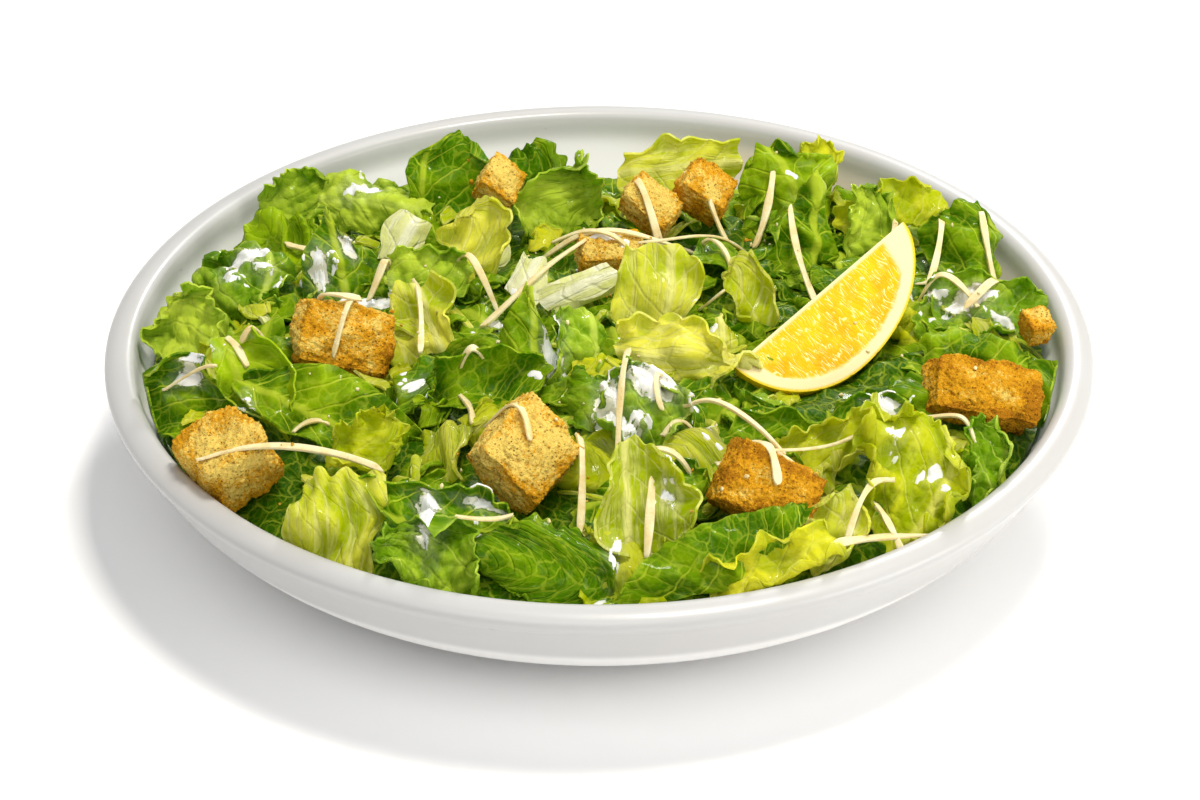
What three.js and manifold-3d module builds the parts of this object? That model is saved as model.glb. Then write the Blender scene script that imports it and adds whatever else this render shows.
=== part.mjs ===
// A caesar salad in a wide shallow bowl: romaine pieces heaped on each other, toasted bread
// croutons, a lemon wedge and long parmesan shreds. Millimetres, +Z up. The origin is the
// middle of the bowl's foot, on the table, and -Y is the side that faces the diner.
import * as THREE from "three";
import { mergeVertices } from "three/addons/utils/BufferGeometryUtils.js";
import Module from "manifold-3d";

const wasm = await Module();
wasm.setup();

// ---------------------------------------------------------------- driving dimensions

const RIM_RADIUS = 140;
const BOWL_HEIGHT = 46;
const WALL = 4.6;
const FOOT_RADIUS = 80;
const FLOOR_TOP = 7.5; // the bowl's inside floor above the table
const MOUTH_RADIUS = RIM_RADIUS - 9; // the clear opening inside the rolled rim
const BOWL_SEGMENTS = 48;

const GAP = 0.4; // clearance between neighbouring nodes
const CORE_RADIUS = 127;
const CORE_FOOT_Z = 32; // where the packed leaves leave the bowl's wall
const CORE_EDGE_Z = 41;
const CORE_TOP_Z = 50.5;
const CORE_BACK_DROP = 16; // how much lower the packed leaves lie along the back of the rim
const STUB_RADIUS = 2.5;
const STUB_DEPTH = 3; // how far a stub reaches into the packed leaves
const CORE_BACK_SQUEEZE = 0.93; // the packed leaves' back half reaches only this share as far
const CORE_SEGMENTS = 18;
const LUMP = 1.8; // how far the core's lumps rise and fall

const LEAF_THICKNESS = 1.1;
const RIB_THICKNESS = 3.2;
const SHRED_WIDTH = 2.0;
const SHRED_THICKNESS = 1.3;
const LEAF_CELLS_ACROSS = 2;
const LEAF_CELL_LENGTH = 10;
const SHRED_ARCH = 7; // the most that a shred's middle stands over its ends
const SHRED_CELLS = [1, 4];
const SLIVER = 0.04; // faces thinner than this are taken out of the fused heap

const VIEW_TILT = 32.5; // a leaf's spin is counted from this slope's upward line, in degrees
const UP_LINE = new THREE.Vector3(0, Math.sin(rad(VIEW_TILT)), Math.cos(rad(VIEW_TILT)));

// ---------------------------------------------------------------- small helpers

function rad(degrees) {
  return (degrees * Math.PI) / 180;
}

function clamp01(value) {
  return Math.min(1, Math.max(0, value));
}

// A repeatable random source, so that each build gives the same croutons.
function seeded(seed) {
  let state = seed >>> 0;
  return () => {
    state = (state + 0x6d2b79f5) >>> 0;
    let mixed = Math.imul(state ^ (state >>> 15), 1 | state);
    mixed = (mixed + Math.imul(mixed ^ (mixed >>> 7), 61 | mixed)) ^ mixed;
    return ((mixed ^ (mixed >>> 14)) >>> 0) / 4294967296;
  };
}

function bare(geometry) {
  const copy = geometry.clone();
  copy.deleteAttribute("normal");
  copy.deleteAttribute("uv");
  return mergeVertices(copy, 1e-3);
}

function toSolid(geometry) {
  const merged = bare(geometry);
  return new wasm.Manifold(
    new wasm.Mesh({
      numProp: 3,
      vertProperties: new Float32Array(merged.attributes.position.array),
      triVerts: new Uint32Array(merged.index.array),
    }),
  );
}

function toGeometry(solid) {
  const mesh = solid.getMesh();
  const positions = new Float32Array(mesh.numVert * 3);
  for (let i = 0; i < mesh.numVert; i++) {
    const start = i * mesh.numProp;
    positions.set(mesh.vertProperties.subarray(start, start + 3), i * 3);
  }
  const geometry = new THREE.BufferGeometry();
  geometry.setAttribute("position", new THREE.BufferAttribute(positions, 3));
  geometry.setIndex(new THREE.BufferAttribute(mesh.triVerts, 1));
  geometry.computeVertexNormals();
  return geometry;
}

// The largest body of a solid, with its sealed hollows filled and loose scraps dropped.
function largestOf(bodies) {
  return bodies.reduce((best, body) => (body.volume() > best.volume() ? body : best));
}

function largestBody(solid) {
  return largestOf(solid.decompose());
}

// A turned solid of a closed profile of [radius, height] pairs, its axis along +Z.
function turned(profile, segments) {
  const points = profile.map(([radius, height]) => new THREE.Vector2(radius, height));
  return new THREE.LatheGeometry(points, segments).rotateX(Math.PI / 2);
}

function named(name, geometry, material) {
  const mesh = new THREE.Mesh(geometry, material);
  mesh.name = name;
  return mesh;
}

// ---------------------------------------------------------------- bowl

const INNER_WALL = [
  [60, FLOOR_TOP + 0.2],
  [84, FLOOR_TOP + 2.3],
  [101, FLOOR_TOP + 6.8],
  [114, 21.5],
  [123.5, 29],
  [129.5, 37],
];

const OUTER_WALL = [
  [136.9, 38.5],
  [134.6, 33.5],
  [130.2, 26.5],
  [122.5, 18.5],
  [111, 11.2],
  [97, 6],
  [FOOT_RADIUS + 3, 3],
];

function bowlGeometry() {
  const foot = [
    [FOOT_RADIUS, 0],
    [FOOT_RADIUS - 6, 0],
    [FOOT_RADIUS - 8, FLOOR_TOP - WALL],
    [0, FLOOR_TOP - WALL],
  ];
  const rim = [
    [MOUTH_RADIUS + 0.4, BOWL_HEIGHT - 2],
    [MOUTH_RADIUS + 2.6, BOWL_HEIGHT],
    [RIM_RADIUS - 2.5, BOWL_HEIGHT - 0.4],
    [RIM_RADIUS, BOWL_HEIGHT - 2.6],
    [RIM_RADIUS - 0.8, BOWL_HEIGHT - 5],
  ];
  const inside = [[0, FLOOR_TOP], ...INNER_WALL, ...rim];
  const profile = [...inside, ...OUTER_WALL, ...foot];
  return turned(profile.reverse(), BOWL_SEGMENTS);
}

// The room that the heap may fill: the bowl's inside less the gap, open above the rim.
function roomSolid() {
  const wall = INNER_WALL.map(([radius, height]) => [radius - GAP, height + GAP]);
  const mouth = MOUTH_RADIUS - 0.6;
  const profile = [[0, FLOOR_TOP + GAP], ...wall, [mouth, BOWL_HEIGHT - 2], [mouth, 120], [0, 120]];
  return toSolid(turned(profile, BOWL_SEGMENTS));
}

// ---------------------------------------------------------------- croutons

// [centre x, y, z], [length, width, height], [turn about X, Y, Z in degrees]
const CROUTONS = {
  crouton_front_left: [[-98.4, -72.4, 49.6], [20, 22, 17], [14, -16, 38]],
  crouton_left: [[-71, -24, 57], [27, 19, 12], [50, 12, -8]],
  crouton_middle: [[-20, -80, 56], [22, 23, 17], [42, 20, -38]],
  crouton_front_right: [[43, -94, 54], [26, 19, 15], [50, 6, -26]],
  crouton_right: [[104, -44, 52], [31, 17, 14], [42, 8, -10]],
  crouton_back_left: [[-30, 62, 58], [12.5, 12.5, 13], [34, 20, -24]],
  crouton_back_middle: [[15, 46, 60], [17, 11, 11], [40, 16, -34]],
  crouton_back_right: [[31, 55, 60], [16, 13, 13], [34, 24, -26]],
  crouton_far_right: [[123.5, -5, 50], [8, 9, 8], [20, 10, 20]],
  crouton_sunk: [[3, 26, 55], [19, 11, 10], [20, 4, 6]],
};
const CROUTON_ROUNDING = 0.34; // how far the box is drawn towards a ball
const CROUTON_BALL = 1.14; // the ball's radius in half sides
const CROUTON_CRAG = 0.055; // share of the side that the crumb rises and sinks by
const CROUTON_CELLS = 3;

// A torn and toasted bread cube: a box with rounded edges, uneven faces and a slight lean.
function croutonGeometry(size, seed, grow) {
  const random = seeded(seed);
  const lean = [random() - 0.5, random() - 0.5, random() - 0.5].map((value) => value * 0.22);
  const box = bare(new THREE.BoxGeometry(2, 2, 2, CROUTON_CELLS, CROUTON_CELLS, CROUTON_CELLS));
  const position = box.attributes.position;
  const point = new THREE.Vector3();
  for (let i = 0; i < position.count; i++) {
    point.fromBufferAttribute(position, i);
    const round = point.clone().normalize().multiplyScalar(CROUTON_BALL);
    point.lerp(round, CROUTON_ROUNDING);
    point.multiplyScalar(1 + (random() - 0.5) * 2 * CROUTON_CRAG);
    point.x += lean[0] * point.z;
    point.y += lean[1] * point.x;
    point.z += lean[2] * point.y;
    position.setXYZ(
      i,
      point.x * (size[0] / 2 + grow),
      point.y * (size[1] / 2 + grow),
      point.z * (size[2] / 2 + grow),
    );
  }
  return box;
}

function placedCrouton([centre, size, turn], seed, grow) {
  const euler = new THREE.Euler(rad(turn[0]), rad(turn[1]), rad(turn[2]));
  const place = new THREE.Matrix4().makeRotationFromEuler(euler).setPosition(...centre);
  return croutonGeometry(size, seed, grow).applyMatrix4(place);
}

// ---------------------------------------------------------------- lemon wedge

const LEMON_LENGTH = 72;
const LEMON_RADIUS = 23.3;
const LEMON_ANGLE = 62; // the wedge's angle round the lemon's axis, in degrees
const LEMON_DROOP = 0.16; // how much fuller the lower end is
const LEMON_PLACE = [61.8, -8.1, 62.6]; // middle of the wedge's straight edge
const LEMON_BELLY = [73, -22]; // over the middle of the peel
const LEMON_AXIS = new THREE.Vector3(49.4, 49.2, 17.9).normalize();
const LEMON_CUT = new THREE.Vector3(0.656, -0.383, -0.47); // runs from the straight edge to the rind

// A lemon's half outline: round in the middle, drawn out to a blunt nose at each end.
function lemonRadius(share) {
  const round = Math.sqrt(Math.max(0, 1 - share * share));
  return LEMON_RADIUS * (0.82 * round + 0.18 * (1 - Math.abs(share) ** 3)) * (1 - LEMON_DROOP * share);
}

function lemonSolid(grow) {
  const half = LEMON_LENGTH / 2 + grow;
  const rings = 14;
  const profile = [[0, -half]];
  for (let i = 1; i < rings; i++) {
    const share = -Math.cos((Math.PI * i) / rings);
    profile.push([lemonRadius(share) + grow, share * half]);
  }
  profile.push([0, half]);
  const whole = toSolid(turned(profile, 36));
  // Two half spaces leave the wedge between the +X direction and LEMON_ANGLE round from it.
  const keep = (angle) => {
    const block = new THREE.BoxGeometry(160, 80, 160).translate(0, 40 - grow, 0);
    return toSolid(block.rotateZ(rad(angle)));
  };
  const wedge = whole.intersect(keep(0)).intersect(keep(LEMON_ANGLE - 180));
  const across = LEMON_CUT.clone().addScaledVector(LEMON_AXIS, -LEMON_CUT.dot(LEMON_AXIS));
  across.normalize();
  const third = new THREE.Vector3().crossVectors(LEMON_AXIS, across);
  const place = new THREE.Matrix4().makeBasis(across, third, LEMON_AXIS);
  place.setPosition(...LEMON_PLACE);
  return toSolid(toGeometry(wedge).applyMatrix4(place));
}

// ---------------------------------------------------------------- lettuce

// Half width along a piece, from its base (0) to its end (1), as a share of half the width.
const OUTLINES = {
  fan: (t) => {
    const body = 0.45 + 0.55 * Math.sin(Math.PI * clamp01(t * 0.62));
    return body - 0.62 * clamp01((t - 0.72) / 0.28) ** 2;
  },
  band: (t) => 0.86 + 0.14 * Math.sin(Math.PI * t) - 0.1 * t,
  tip: (t) => {
    const body = 0.5 + 0.5 * Math.sin(Math.PI * clamp01(t * 0.9 + 0.06));
    return body - 0.86 * clamp01((t - 0.35) / 0.65) ** 1.6;
  },
  oval: (t) => 0.3 + 0.7 * Math.sin(Math.PI * (0.08 + 0.84 * t)) ** 0.7,
  flap: (t) => clamp01(1 - t) ** 0.75,
  blade: (t) => Math.sin(Math.PI * (0.03 + 0.94 * t)) ** 0.75,
};
const LEAST_WIDTH = 0.12; // a point is at least this share of the piece's width

// How far the corners of the two ends are drawn in, as a share of the length.
const ROUNDING = { fan: 0.16, band: 0.05, tip: 0.06, oval: 0.12, flap: 0.05, blade: 0.02 };

// How each sort of romaine is shaped: the ruffle's height as a share of the width and its waves.
const SORTS = {
  dark: { ruffle: 0.05, waves: 1.6, thickness: LEAF_THICKNESS },
  blister: { ruffle: 0.09, waves: 2.4, thickness: LEAF_THICKNESS },
  lime: { ruffle: 0.07, waves: 1.8, thickness: LEAF_THICKNESS },
  frill: { ruffle: 0.13, waves: 3, thickness: LEAF_THICKNESS },
  rib: { ruffle: 0.02, waves: 1, thickness: RIB_THICKNESS },
};

// [sort, outline, x, y, z of the middle, length, width, facing, turn, spin, bow, cup, bends]
// facing: how far the upper face looks up, 90 flat. turn: which way it leans, 0 to the diner and
// positive to the right. spin: which way the length points, clockwise from straight away.
// bow and cup: degrees of bend along and across, positive where the ends go down. In bends, fold
// is a crease along the middle, curl a rise of the side edges, bend a crescent, and twist a turn
// of the far end in degrees.
const LEAVES = [
  ["blister", "fan", -92, 68, 49, 28, 24, 45, -15, 80, 50, 40, { curl: 0.5 }],
  ["blister", "band", -67, 60, 53, 36, 22, 42, 0, 98, 40, 90],
  ["dark", "fan", -45, 64, 57, 33, 33, 28, -8, 12, 25, 20, { curl: 0.25 }],
  ["dark", "oval", -20, 80, 52, 22, 20, 40, 10, 50, 30, 20],
  ["blister", "tip", -10, 57, 56, 30, 33, 36, 14, 18, 20, 40, { fold: 0.25, curl: 0.5 }],
  ["lime", "fan", -34, 31, 58, 24, 24, 36, 0, -4, 30, 24, { curl: 0.5 }],
  ["lime", "band", 24, 86, 51, 38, 18, 42, 0, 84, 30, 20, { curl: 0.4 }],
  ["dark", "fan", 57, 66, 54, 32, 31, 36, 6, -28, 30, 40, { fold: 0.2 }],
  ["frill", "fan", 64, 86, 51, 24, 18, 40, 10, 66, 50, 40, { curl: 0.5 }],
  ["dark", "flap", 61, 38, 57, 33, 26, 34, 12, 8, 30, 70, { fold: 0.4 }],
  ["blister", "fan", 80, 50, 51, 25, 24, 42, 8, 30, 30, 50, { curl: 0.4 }],
  ["frill", "band", 88, 58, 51, 34, 18, 42, 12, 70, 40, 50, { curl: 0.5 }],
  ["dark", "fan", 109, 38, 50, 31, 28, 42, 12, 10, 50, 90, { fold: 0.3 }],
  ["blister", "band", 112, 8, 48, 38, 22, 52, 10, 92, 40, 30, { curl: 0.4 }],
  ["dark", "band", 107, -18, 47, 34, 18, 46, 0, 96, 30, 70, { curl: -0.3 }],
  ["dark", "oval", 122, -35, 46, 20, 16, 46, -50, 10, 40, 30, { curl: 0.4 }],
  ["blister", "fan", -105, 17, 51, 31, 33, 50, -20, -10, 100, 90],
  ["dark", "oval", -94, 38, 48, 30, 26, 46, -10, 60, 30, 20],
  ["dark", "flap", -75, 22, 54, 33, 31, 38, 6, -12, 20, 20, { fold: 0.25 }],
  ["blister", "fan", -115, -3, 47, 30, 28, 50, -24, -40, 40, 30, { curl: 0.4 }],
  ["dark", "fan", -115, -43, 48, 38, 35, 48, -16, -66, 30, 20, { curl: 0.3 }],
  ["dark", "tip", -92, -45, 53, 41, 22, 50, -10, 150, 30, -30, { fold: -0.2, curl: 0.3 }],
  ["dark", "band", -85, -28, 52, 30, 18, 52, 0, 96, 30, 20, { curl: -0.4 }],
  ["dark", "blade", -72, -55, 51, 58, 25, 56, 6, 116, 24, 50, { fold: -0.35, curl: 0.1 }],
  ["rib", "band", -57, 34, 55, 17, 13, 44, 10, 30, 10, 40],
  ["rib", "band", -20, 9, 57, 14, 11, 52, 0, 24, 10, 30],
  ["frill", "fan", -62, -72, 54, 24, 20, 50, 0, 66, 40, 30, { curl: 0.6 }],
  ["lime", "band", -51, -8, 54, 23, 22, 52, 0, -20, 20, 40, { curl: 0.4 }],
  ["blister", "band", -49, 16, 55, 24, 17, 48, 0, 84, 30, 40, { curl: 0.5 }],
  ["dark", "flap", -20, -33, 60, 33, 28, 32, 4, 6, 26, 50, { fold: 0.5 }],
  ["dark", "band", -30, -43, 54, 32, 20, 50, -8, 78, 30, 30, { fold: -0.3, curl: 0.5 }],
  ["blister", "band", -6, -31, 57, 26, 18, 40, 40, 6, 20, 60, { curl: 0.4 }],
  ["lime", "band", 16, 1, 60, 23, 27, 36, 4, 6, 30, 10, { fold: 0.2, curl: 0.3 }],
  ["rib", "band", -5, 6, 56, 24, 10, 46, 0, 66, 30, 70, { curl: 0.3, twist: 20 }],
  ["lime", "tip", 24, -30, 56, 40, 25, 48, 0, 98, 30, 30, { fold: 0.5, curl: 0.4 }],
  ["blister", "fan", 12, -60, 56, 30, 30, 48, 0, 2, 40, 30, { curl: 0.4 }],
  ["lime", "fan", 43, 6, 55, 26, 16, 42, -6, -10, 30, 30, { curl: 0.5, twist: 30 }],
  ["lime", "tip", 34, -18, 54, 14, 10, 42, 0, 0, 20, 40, { fold: 0.4 }],
  ["lime", "band", -69, -104, 50, 28, 28, 42, -4, 4, 30, 40],
  ["dark", "blade", -42, -101, 53, 43, 18, 54, 0, 102, 40, 60, { curl: 0.5, bend: -0.1 }],
  ["blister", "fan", -43, -116, 46, 28, 28, 44, 0, -30, 30, 20, { curl: 0.4 }],
  ["dark", "oval", -12, -118, 46, 24, 39, 38, 0, 2, 30, 20],
  ["lime", "fan", 11, -101, 53, 38, 31, 44, 0, 172, 30, 50, { fold: -0.25, curl: 0.4 }],
  ["dark", "fan", 20, -92, 56, 22, 17, 48, 10, 112, 40, 60, { fold: 0.4, curl: 0.4 }],
  ["dark", "blade", 30, -117, 49, 56, 18, 44, 0, 62, 30, 60, { bend: -0.15, twist: 40 }],
  ["frill", "band", 45, -118, 47, 38, 17, 50, 0, 68, 30, 30, { curl: 0.6 }],
  ["lime", "fan", 60, -105, 49, 24, 20, 48, 0, 20, 30, 30, { curl: 0.4 }],
  ["frill", "fan", 82, -86, 51, 39, 42, 50, 4, 24, 30, 30, { curl: 0.4 }],
  ["frill", "band", 62, -71, 53, 34, 18, 50, 0, 70, 30, 70, { curl: 0.5 }],
  ["blister", "fan", 104, -72, 47, 28, 18, 46, 20, 14, 40, 50, { curl: 0.5 }],
  ["dark", "band", 74, -58, 52, 25, 17, 50, 0, 80, 50, 60, { curl: 0.4 }],
  ["dark", "oval", 85, -49, 51, 19, 16, 42, 0, -10, 30, 40],
  ["dark", "band", 49, -67, 52, 30, 16, 50, 0, 96, 30, 60, { fold: -0.3, curl: 0.4 }],
];

// The three directions of a piece: its length, its width and its upper side.
function leafFrame(facing, turn, spin) {
  const up = new THREE.Vector3(
    Math.sin(rad(turn)) * Math.cos(rad(facing)),
    -Math.cos(rad(turn)) * Math.cos(rad(facing)),
    Math.sin(rad(facing)),
  );
  const away = UP_LINE.clone().addScaledVector(up, -UP_LINE.dot(up)).normalize();
  const right = new THREE.Vector3().crossVectors(away, up);
  const along = away.clone().multiplyScalar(Math.cos(rad(spin)));
  along.addScaledVector(right, Math.sin(rad(spin)));
  return { along, across: new THREE.Vector3().crossVectors(along, up), up };
}

// How far an arc that bends by the given degrees over its length reaches along and down.
function arc(distance, length, degrees) {
  if (Math.abs(degrees) < 1) return [distance, 0];
  const radius = length / rad(degrees);
  return [radius * Math.sin(distance / radius), radius * (Math.cos(distance / radius) - 1)];
}

// A point of a piece's middle surface. s runs from -1 to 1 across it and t from 0 to 1 along.
function leafPoint(leaf, frame, s, t) {
  const [sort, outline, x, y, z, length, width, , , , bow, cup, bends] = leaf;
  const { fold = 0, curl = 0, bend = 0, twist = 0 } = bends ?? {};
  const { ruffle, waves } = SORTS[sort];
  const ends = 2 * t - 1;
  const slant = 0.2 * Math.sin(1.7 * x + 0.9 * y);
  const uneven = 0.16 * s * Math.sin(4.4 * t + 0.31 * x);
  const half = (width / 2) * Math.max(LEAST_WIDTH, OUTLINES[outline](t)) * (1 + uneven);
  const reach = (t - 0.5) * length - ROUNDING[outline] * length * s ** 2 * ends;
  const [run, drop] = arc(reach + (slant * width * s) / 2, length, bow);
  const [flat, fall] = arc(s * half, width, cup);
  const crease = fold * half * (Math.sqrt(s ** 2 + 0.02) - 0.14);
  const lip = ((curl * width) / 2) * s ** 4;
  const phase = x * 0.7 + y * 0.4 + (s < 0 ? 2.1 : 0);
  const wave = width * ruffle * Math.abs(s) ** 2.2 * Math.sin(2 * Math.PI * waves * t + phase);
  const side = flat * (1 - 0.3 * Math.abs(curl) * s ** 4) + bend * width * ends ** 2;
  const rise = fall - crease + lip + wave;
  const turn = rad(twist) * (t - 0.5);
  return new THREE.Vector3(x, y, z)
    .addScaledVector(frame.along, run)
    .addScaledVector(frame.across, side * Math.cos(turn) - rise * Math.sin(turn))
    .addScaledVector(frame.up, side * Math.sin(turn) + rise * Math.cos(turn) + drop);
}

// A thin closed sheet over a grid, with the same diagonals on both faces.
function sheetGeometry(pointAt, cellsAcross, cellsAlong, thickness) {
  const step = 1e-3;
  const grid = new THREE.PlaneGeometry(2, 1, cellsAcross, cellsAlong);
  const count = grid.attributes.position.count;
  const positions = [[], []];
  for (let i = 0; i < count; i++) {
    const s = grid.attributes.position.getX(i);
    const t = grid.attributes.position.getY(i) + 0.5;
    const middle = pointAt(s, t);
    const alongS = pointAt(s + step, t).sub(pointAt(s - step, t));
    const alongT = pointAt(s, t + step).sub(pointAt(s, t - step));
    const normal = alongS.cross(alongT).normalize().multiplyScalar(thickness / 2);
    positions[0].push(middle.x + normal.x, middle.y + normal.y, middle.z + normal.z);
    positions[1].push(middle.x - normal.x, middle.y - normal.y, middle.z - normal.z);
  }
  const faces = [...grid.index.array];
  const index = [...faces];
  for (let i = 0; i < faces.length; i += 3) {
    index.push(faces[i] + count, faces[i + 2] + count, faces[i + 1] + count);
  }
  const row = cellsAcross + 1;
  const border = [];
  for (let i = 0; i < cellsAcross; i++) border.push(i);
  for (let j = 0; j < cellsAlong; j++) border.push(j * row + cellsAcross);
  for (let i = cellsAcross; i > 0; i--) border.push(cellsAlong * row + i);
  for (let j = cellsAlong; j > 0; j--) border.push(j * row);
  border.forEach((from, k) => {
    const to = border[(k + 1) % border.length];
    index.push(from, to, to + count, from, to + count, from + count);
  });
  const geometry = new THREE.BufferGeometry();
  const all = new Float32Array([...positions[0], ...positions[1]]);
  geometry.setAttribute("position", new THREE.BufferAttribute(all, 3));
  geometry.setIndex(index);
  return geometry;
}

function leafSolid(leaf) {
  const [sort, , , , , length, , facing, turn, spin] = leaf;
  const frame = leafFrame(facing, turn, spin);
  const cellsAlong = Math.round(length / LEAF_CELL_LENGTH);
  const pointAt = (s, t) => leafPoint(leaf, frame, s, t);
  return toSolid(sheetGeometry(pointAt, LEAF_CELLS_ACROSS, cellsAlong, SORTS[sort].thickness));
}

// The height of the packed leaves: a low dome with lumps of leaf size, lower behind the heap.
function coreHeight(x, y) {
  const share = Math.hypot(x, y) / CORE_RADIUS;
  const back = clamp01((y - 60) / (CORE_RADIUS - 60)) ** 1.5;
  const lump = Math.sin(x / 9 + 1.3) * Math.cos(y / 8 - 0.4) + 0.5 * Math.sin((x - y) / 5);
  const dome = CORE_TOP_Z - (CORE_TOP_Z - CORE_EDGE_Z) * share ** 2.6;
  return Math.max(dome - CORE_BACK_DROP * back + LUMP * lump, CORE_FOOT_Z + 1.5);
}

// The packed lettuce under the pieces that show. It lies on the bowl's floor and wall.
function coreSolid() {
  const topMark = 100; // above every wall point, so that the rings of the dome are told apart
  const wall = INNER_WALL.filter(([, height]) => height < CORE_FOOT_Z);
  const profile = [[0, FLOOR_TOP + GAP * 2]];
  wall.forEach(([radius, height]) => profile.push([radius - GAP * 3, height + GAP * 2]));
  profile.push([CORE_RADIUS - 1.5, CORE_FOOT_Z]);
  const rings = 6;
  for (let i = rings; i >= 0; i--) profile.push([(CORE_RADIUS * i) / rings, topMark]);
  const dome = bare(turned(profile, CORE_SEGMENTS));
  const position = dome.attributes.position;
  for (let i = 0; i < position.count; i++) {
    const [x, y, z] = [position.getX(i), position.getY(i), position.getZ(i)];
    if (z >= topMark) position.setZ(i, coreHeight(x, y));
    if (y > 0) position.setY(i, y * CORE_BACK_SQUEEZE);
  }
  return toSolid(dome);
}

// The pieces of LEAVES that touch nothing that rests on the packed leaves.
function looseLeaves(bodies) {
  const largest = largestOf(bodies);
  const boxes = bodies.filter((body) => body !== largest).map((body) => body.boundingBox());
  const isIn = (place, { min, max }) => place.every((value, i) => value > min[i] - 1 && value < max[i] + 1);
  return LEAVES.filter(([, , ...place]) => boxes.some((box) => isIn(place.slice(0, 3), box)));
}

// The stub that carries such a piece: from its middle down into the packed leaves.
function stubSolid([, , x, y, z]) {
  const foot = coreHeight(x, y > 0 ? y / CORE_BACK_SQUEEZE : y) - STUB_DEPTH;
  const stub = wasm.Manifold.cylinder(Math.max(z - foot, 1), STUB_RADIUS, STUB_RADIUS, 4);
  return stub.translate([x, y, foot]);
}

// ---------------------------------------------------------------- leaves between the others

const FILLER_PLACES = 92; // places on a spiral over the heap
const FILLER_REACH = 118;
const FILLER_SPACING = 17; // a place nearer than this to another piece stays free
const FILLER_BACK = 84; // no piece lies farther back than this
const GOLDEN_ANGLE = 137.508;

// Pieces that cover what LEAVES leaves bare: each leans outwards and sinks into the packed ones.
function fillerLeaves() {
  const random = seeded(7);
  const between = (low, high) => low + (high - low) * random();
  const toppings = [...Object.values(CROUTONS).map(([centre]) => centre), LEMON_PLACE, LEMON_BELLY];
  const taken = [...LEAVES.map(([, , x, y]) => [x, y]), ...toppings];
  const fillers = [];
  for (let i = 0; i < FILLER_PLACES; i++) {
    const radius = FILLER_REACH * Math.sqrt((i + 0.5) / FILLER_PLACES);
    const x = radius * Math.cos(rad(i * GOLDEN_ANGLE));
    const y = radius * Math.sin(rad(i * GOLDEN_ANGLE));
    const sort = Object.keys(SORTS)[Math.floor(between(0, 4))];
    const outline = Object.keys(OUTLINES)[Math.floor(between(0, 3))];
    const size = [between(27, 37), between(20, 30)];
    const lean = (Math.atan2(x, -y) * 180) / Math.PI + between(-40, 40);
    const pose = [between(46, 72), lean, between(-90, 90), between(20, 60), between(-20, 70)];
    if (taken.some(([a, b]) => Math.hypot(a - x, b - y) < FILLER_SPACING) || y > FILLER_BACK) continue;
    taken.push([x, y]);
    fillers.push([sort, outline, x, y, coreHeight(x, y) + 1, ...size, ...pose]);
  }
  return fillers;
}

// ---------------------------------------------------------------- parmesan shreds

// [x, y of one end], [x, y of the other], how far the middle bends aside
const SHREDS = [
  [[-53, 10], [-49, -34], 1],
  [[-4, 25], [-33, -4], 2],
  [[-43, 22], [-29, 6], 1],
  [[-60, 21], [-66, 8], 0.5],
  [[-14, 37], [14, 24], -4],
  [[-16, 30], [28, 30], -3],
  [[12, 24], [43, 44], -3],
  [[27, 31], [39, 14], 2],
  [[52, 68], [46, 47], 1],
  [[56, 45], [64, 5], -2],
  [[76, 58], [82, 64], 0.5],
  [[101, 57], [95, 21], 2],
  [[113, 54], [117, 30], -2],
  [[119, 27], [104, 5], 3],
  [[108, 6], [92, 13], -2],
  [[-119, -40], [-104, -43], 0.5],
  [[-105, -81], [-56, -94], 6],
  [[-56, -90], [-38, -96], -1],
  [[-6, -67], [-5, -103], 1],
  [[8, -50], [5, -79], -1],
  [[5, -80], [27, -88], -3],
  [[23, -62], [48, -86], 3],
  [[44, -92], [68, -68], -3],
  [[63, -110], [77, -88], 1],
  [[60, -113], [87, -100], 1],
  [[71, -94], [78, -108], 0.5],
  [[85, -56], [100, -69], 2],
  [[-38, -46], [-34, -60], 1],
  [[-30, -72], [-18, -86], 3],
  [[-67, -12], [-73, -34], 1],
  [[7, 56], [19, 33], -1],
  [[31, -75], [39, -77], 0],
  [[40, -84], [46, -100], 1],
];

// The height of the heap's top over a point, from its own triangles.
function topFinder(solid) {
  const mesh = new THREE.Mesh(toGeometry(solid), new THREE.MeshBasicMaterial());
  const caster = new THREE.Raycaster();
  const down = new THREE.Vector3(0, 0, -1);
  return (x, y) => {
    caster.set(new THREE.Vector3(x, y, 200), down);
    const hits = caster.intersectObject(mesh);
    return hits.length ? hits[0].point.z : CORE_EDGE_Z;
  };
}

// A shred lies across the pieces under it: its ends touch, and its arch clears what is between.
function shredSolid([from, to, aside], topAt) {
  const start = new THREE.Vector2(...from);
  const end = new THREE.Vector2(...to);
  const side = end.clone().sub(start).normalize().rotateAround(new THREE.Vector2(), Math.PI / 2);
  const planAt = (t) => {
    const bend = aside * (1 - (2 * t - 1) ** 2);
    return start.clone().lerp(end, t).addScaledVector(side, bend);
  };
  const heightOver = (t) => topAt(planAt(t).x, planAt(t).y);
  const ends = [heightOver(0), heightOver(1)];
  const arch = (t) => 1 - (2 * t - 1) ** 2;
  const line = (t) => ends[0] + (ends[1] - ends[0]) * t;
  const clearances = [0.2, 0.35, 0.5, 0.65, 0.8].map((t) => (heightOver(t) + 1 - line(t)) / arch(t));
  const rise = Math.min(SHRED_ARCH, Math.max(0, ...clearances));
  const pointAt = (s, t) => {
    const plan = planAt(t).addScaledVector(side, (s * SHRED_WIDTH) / 2);
    return new THREE.Vector3(plan.x, plan.y, line(t) + rise * arch(t) + 0.1);
  };
  return toSolid(sheetGeometry(pointAt, ...SHRED_CELLS, SHRED_THICKNESS));
}

// ---------------------------------------------------------------- the heap as one solid

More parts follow.
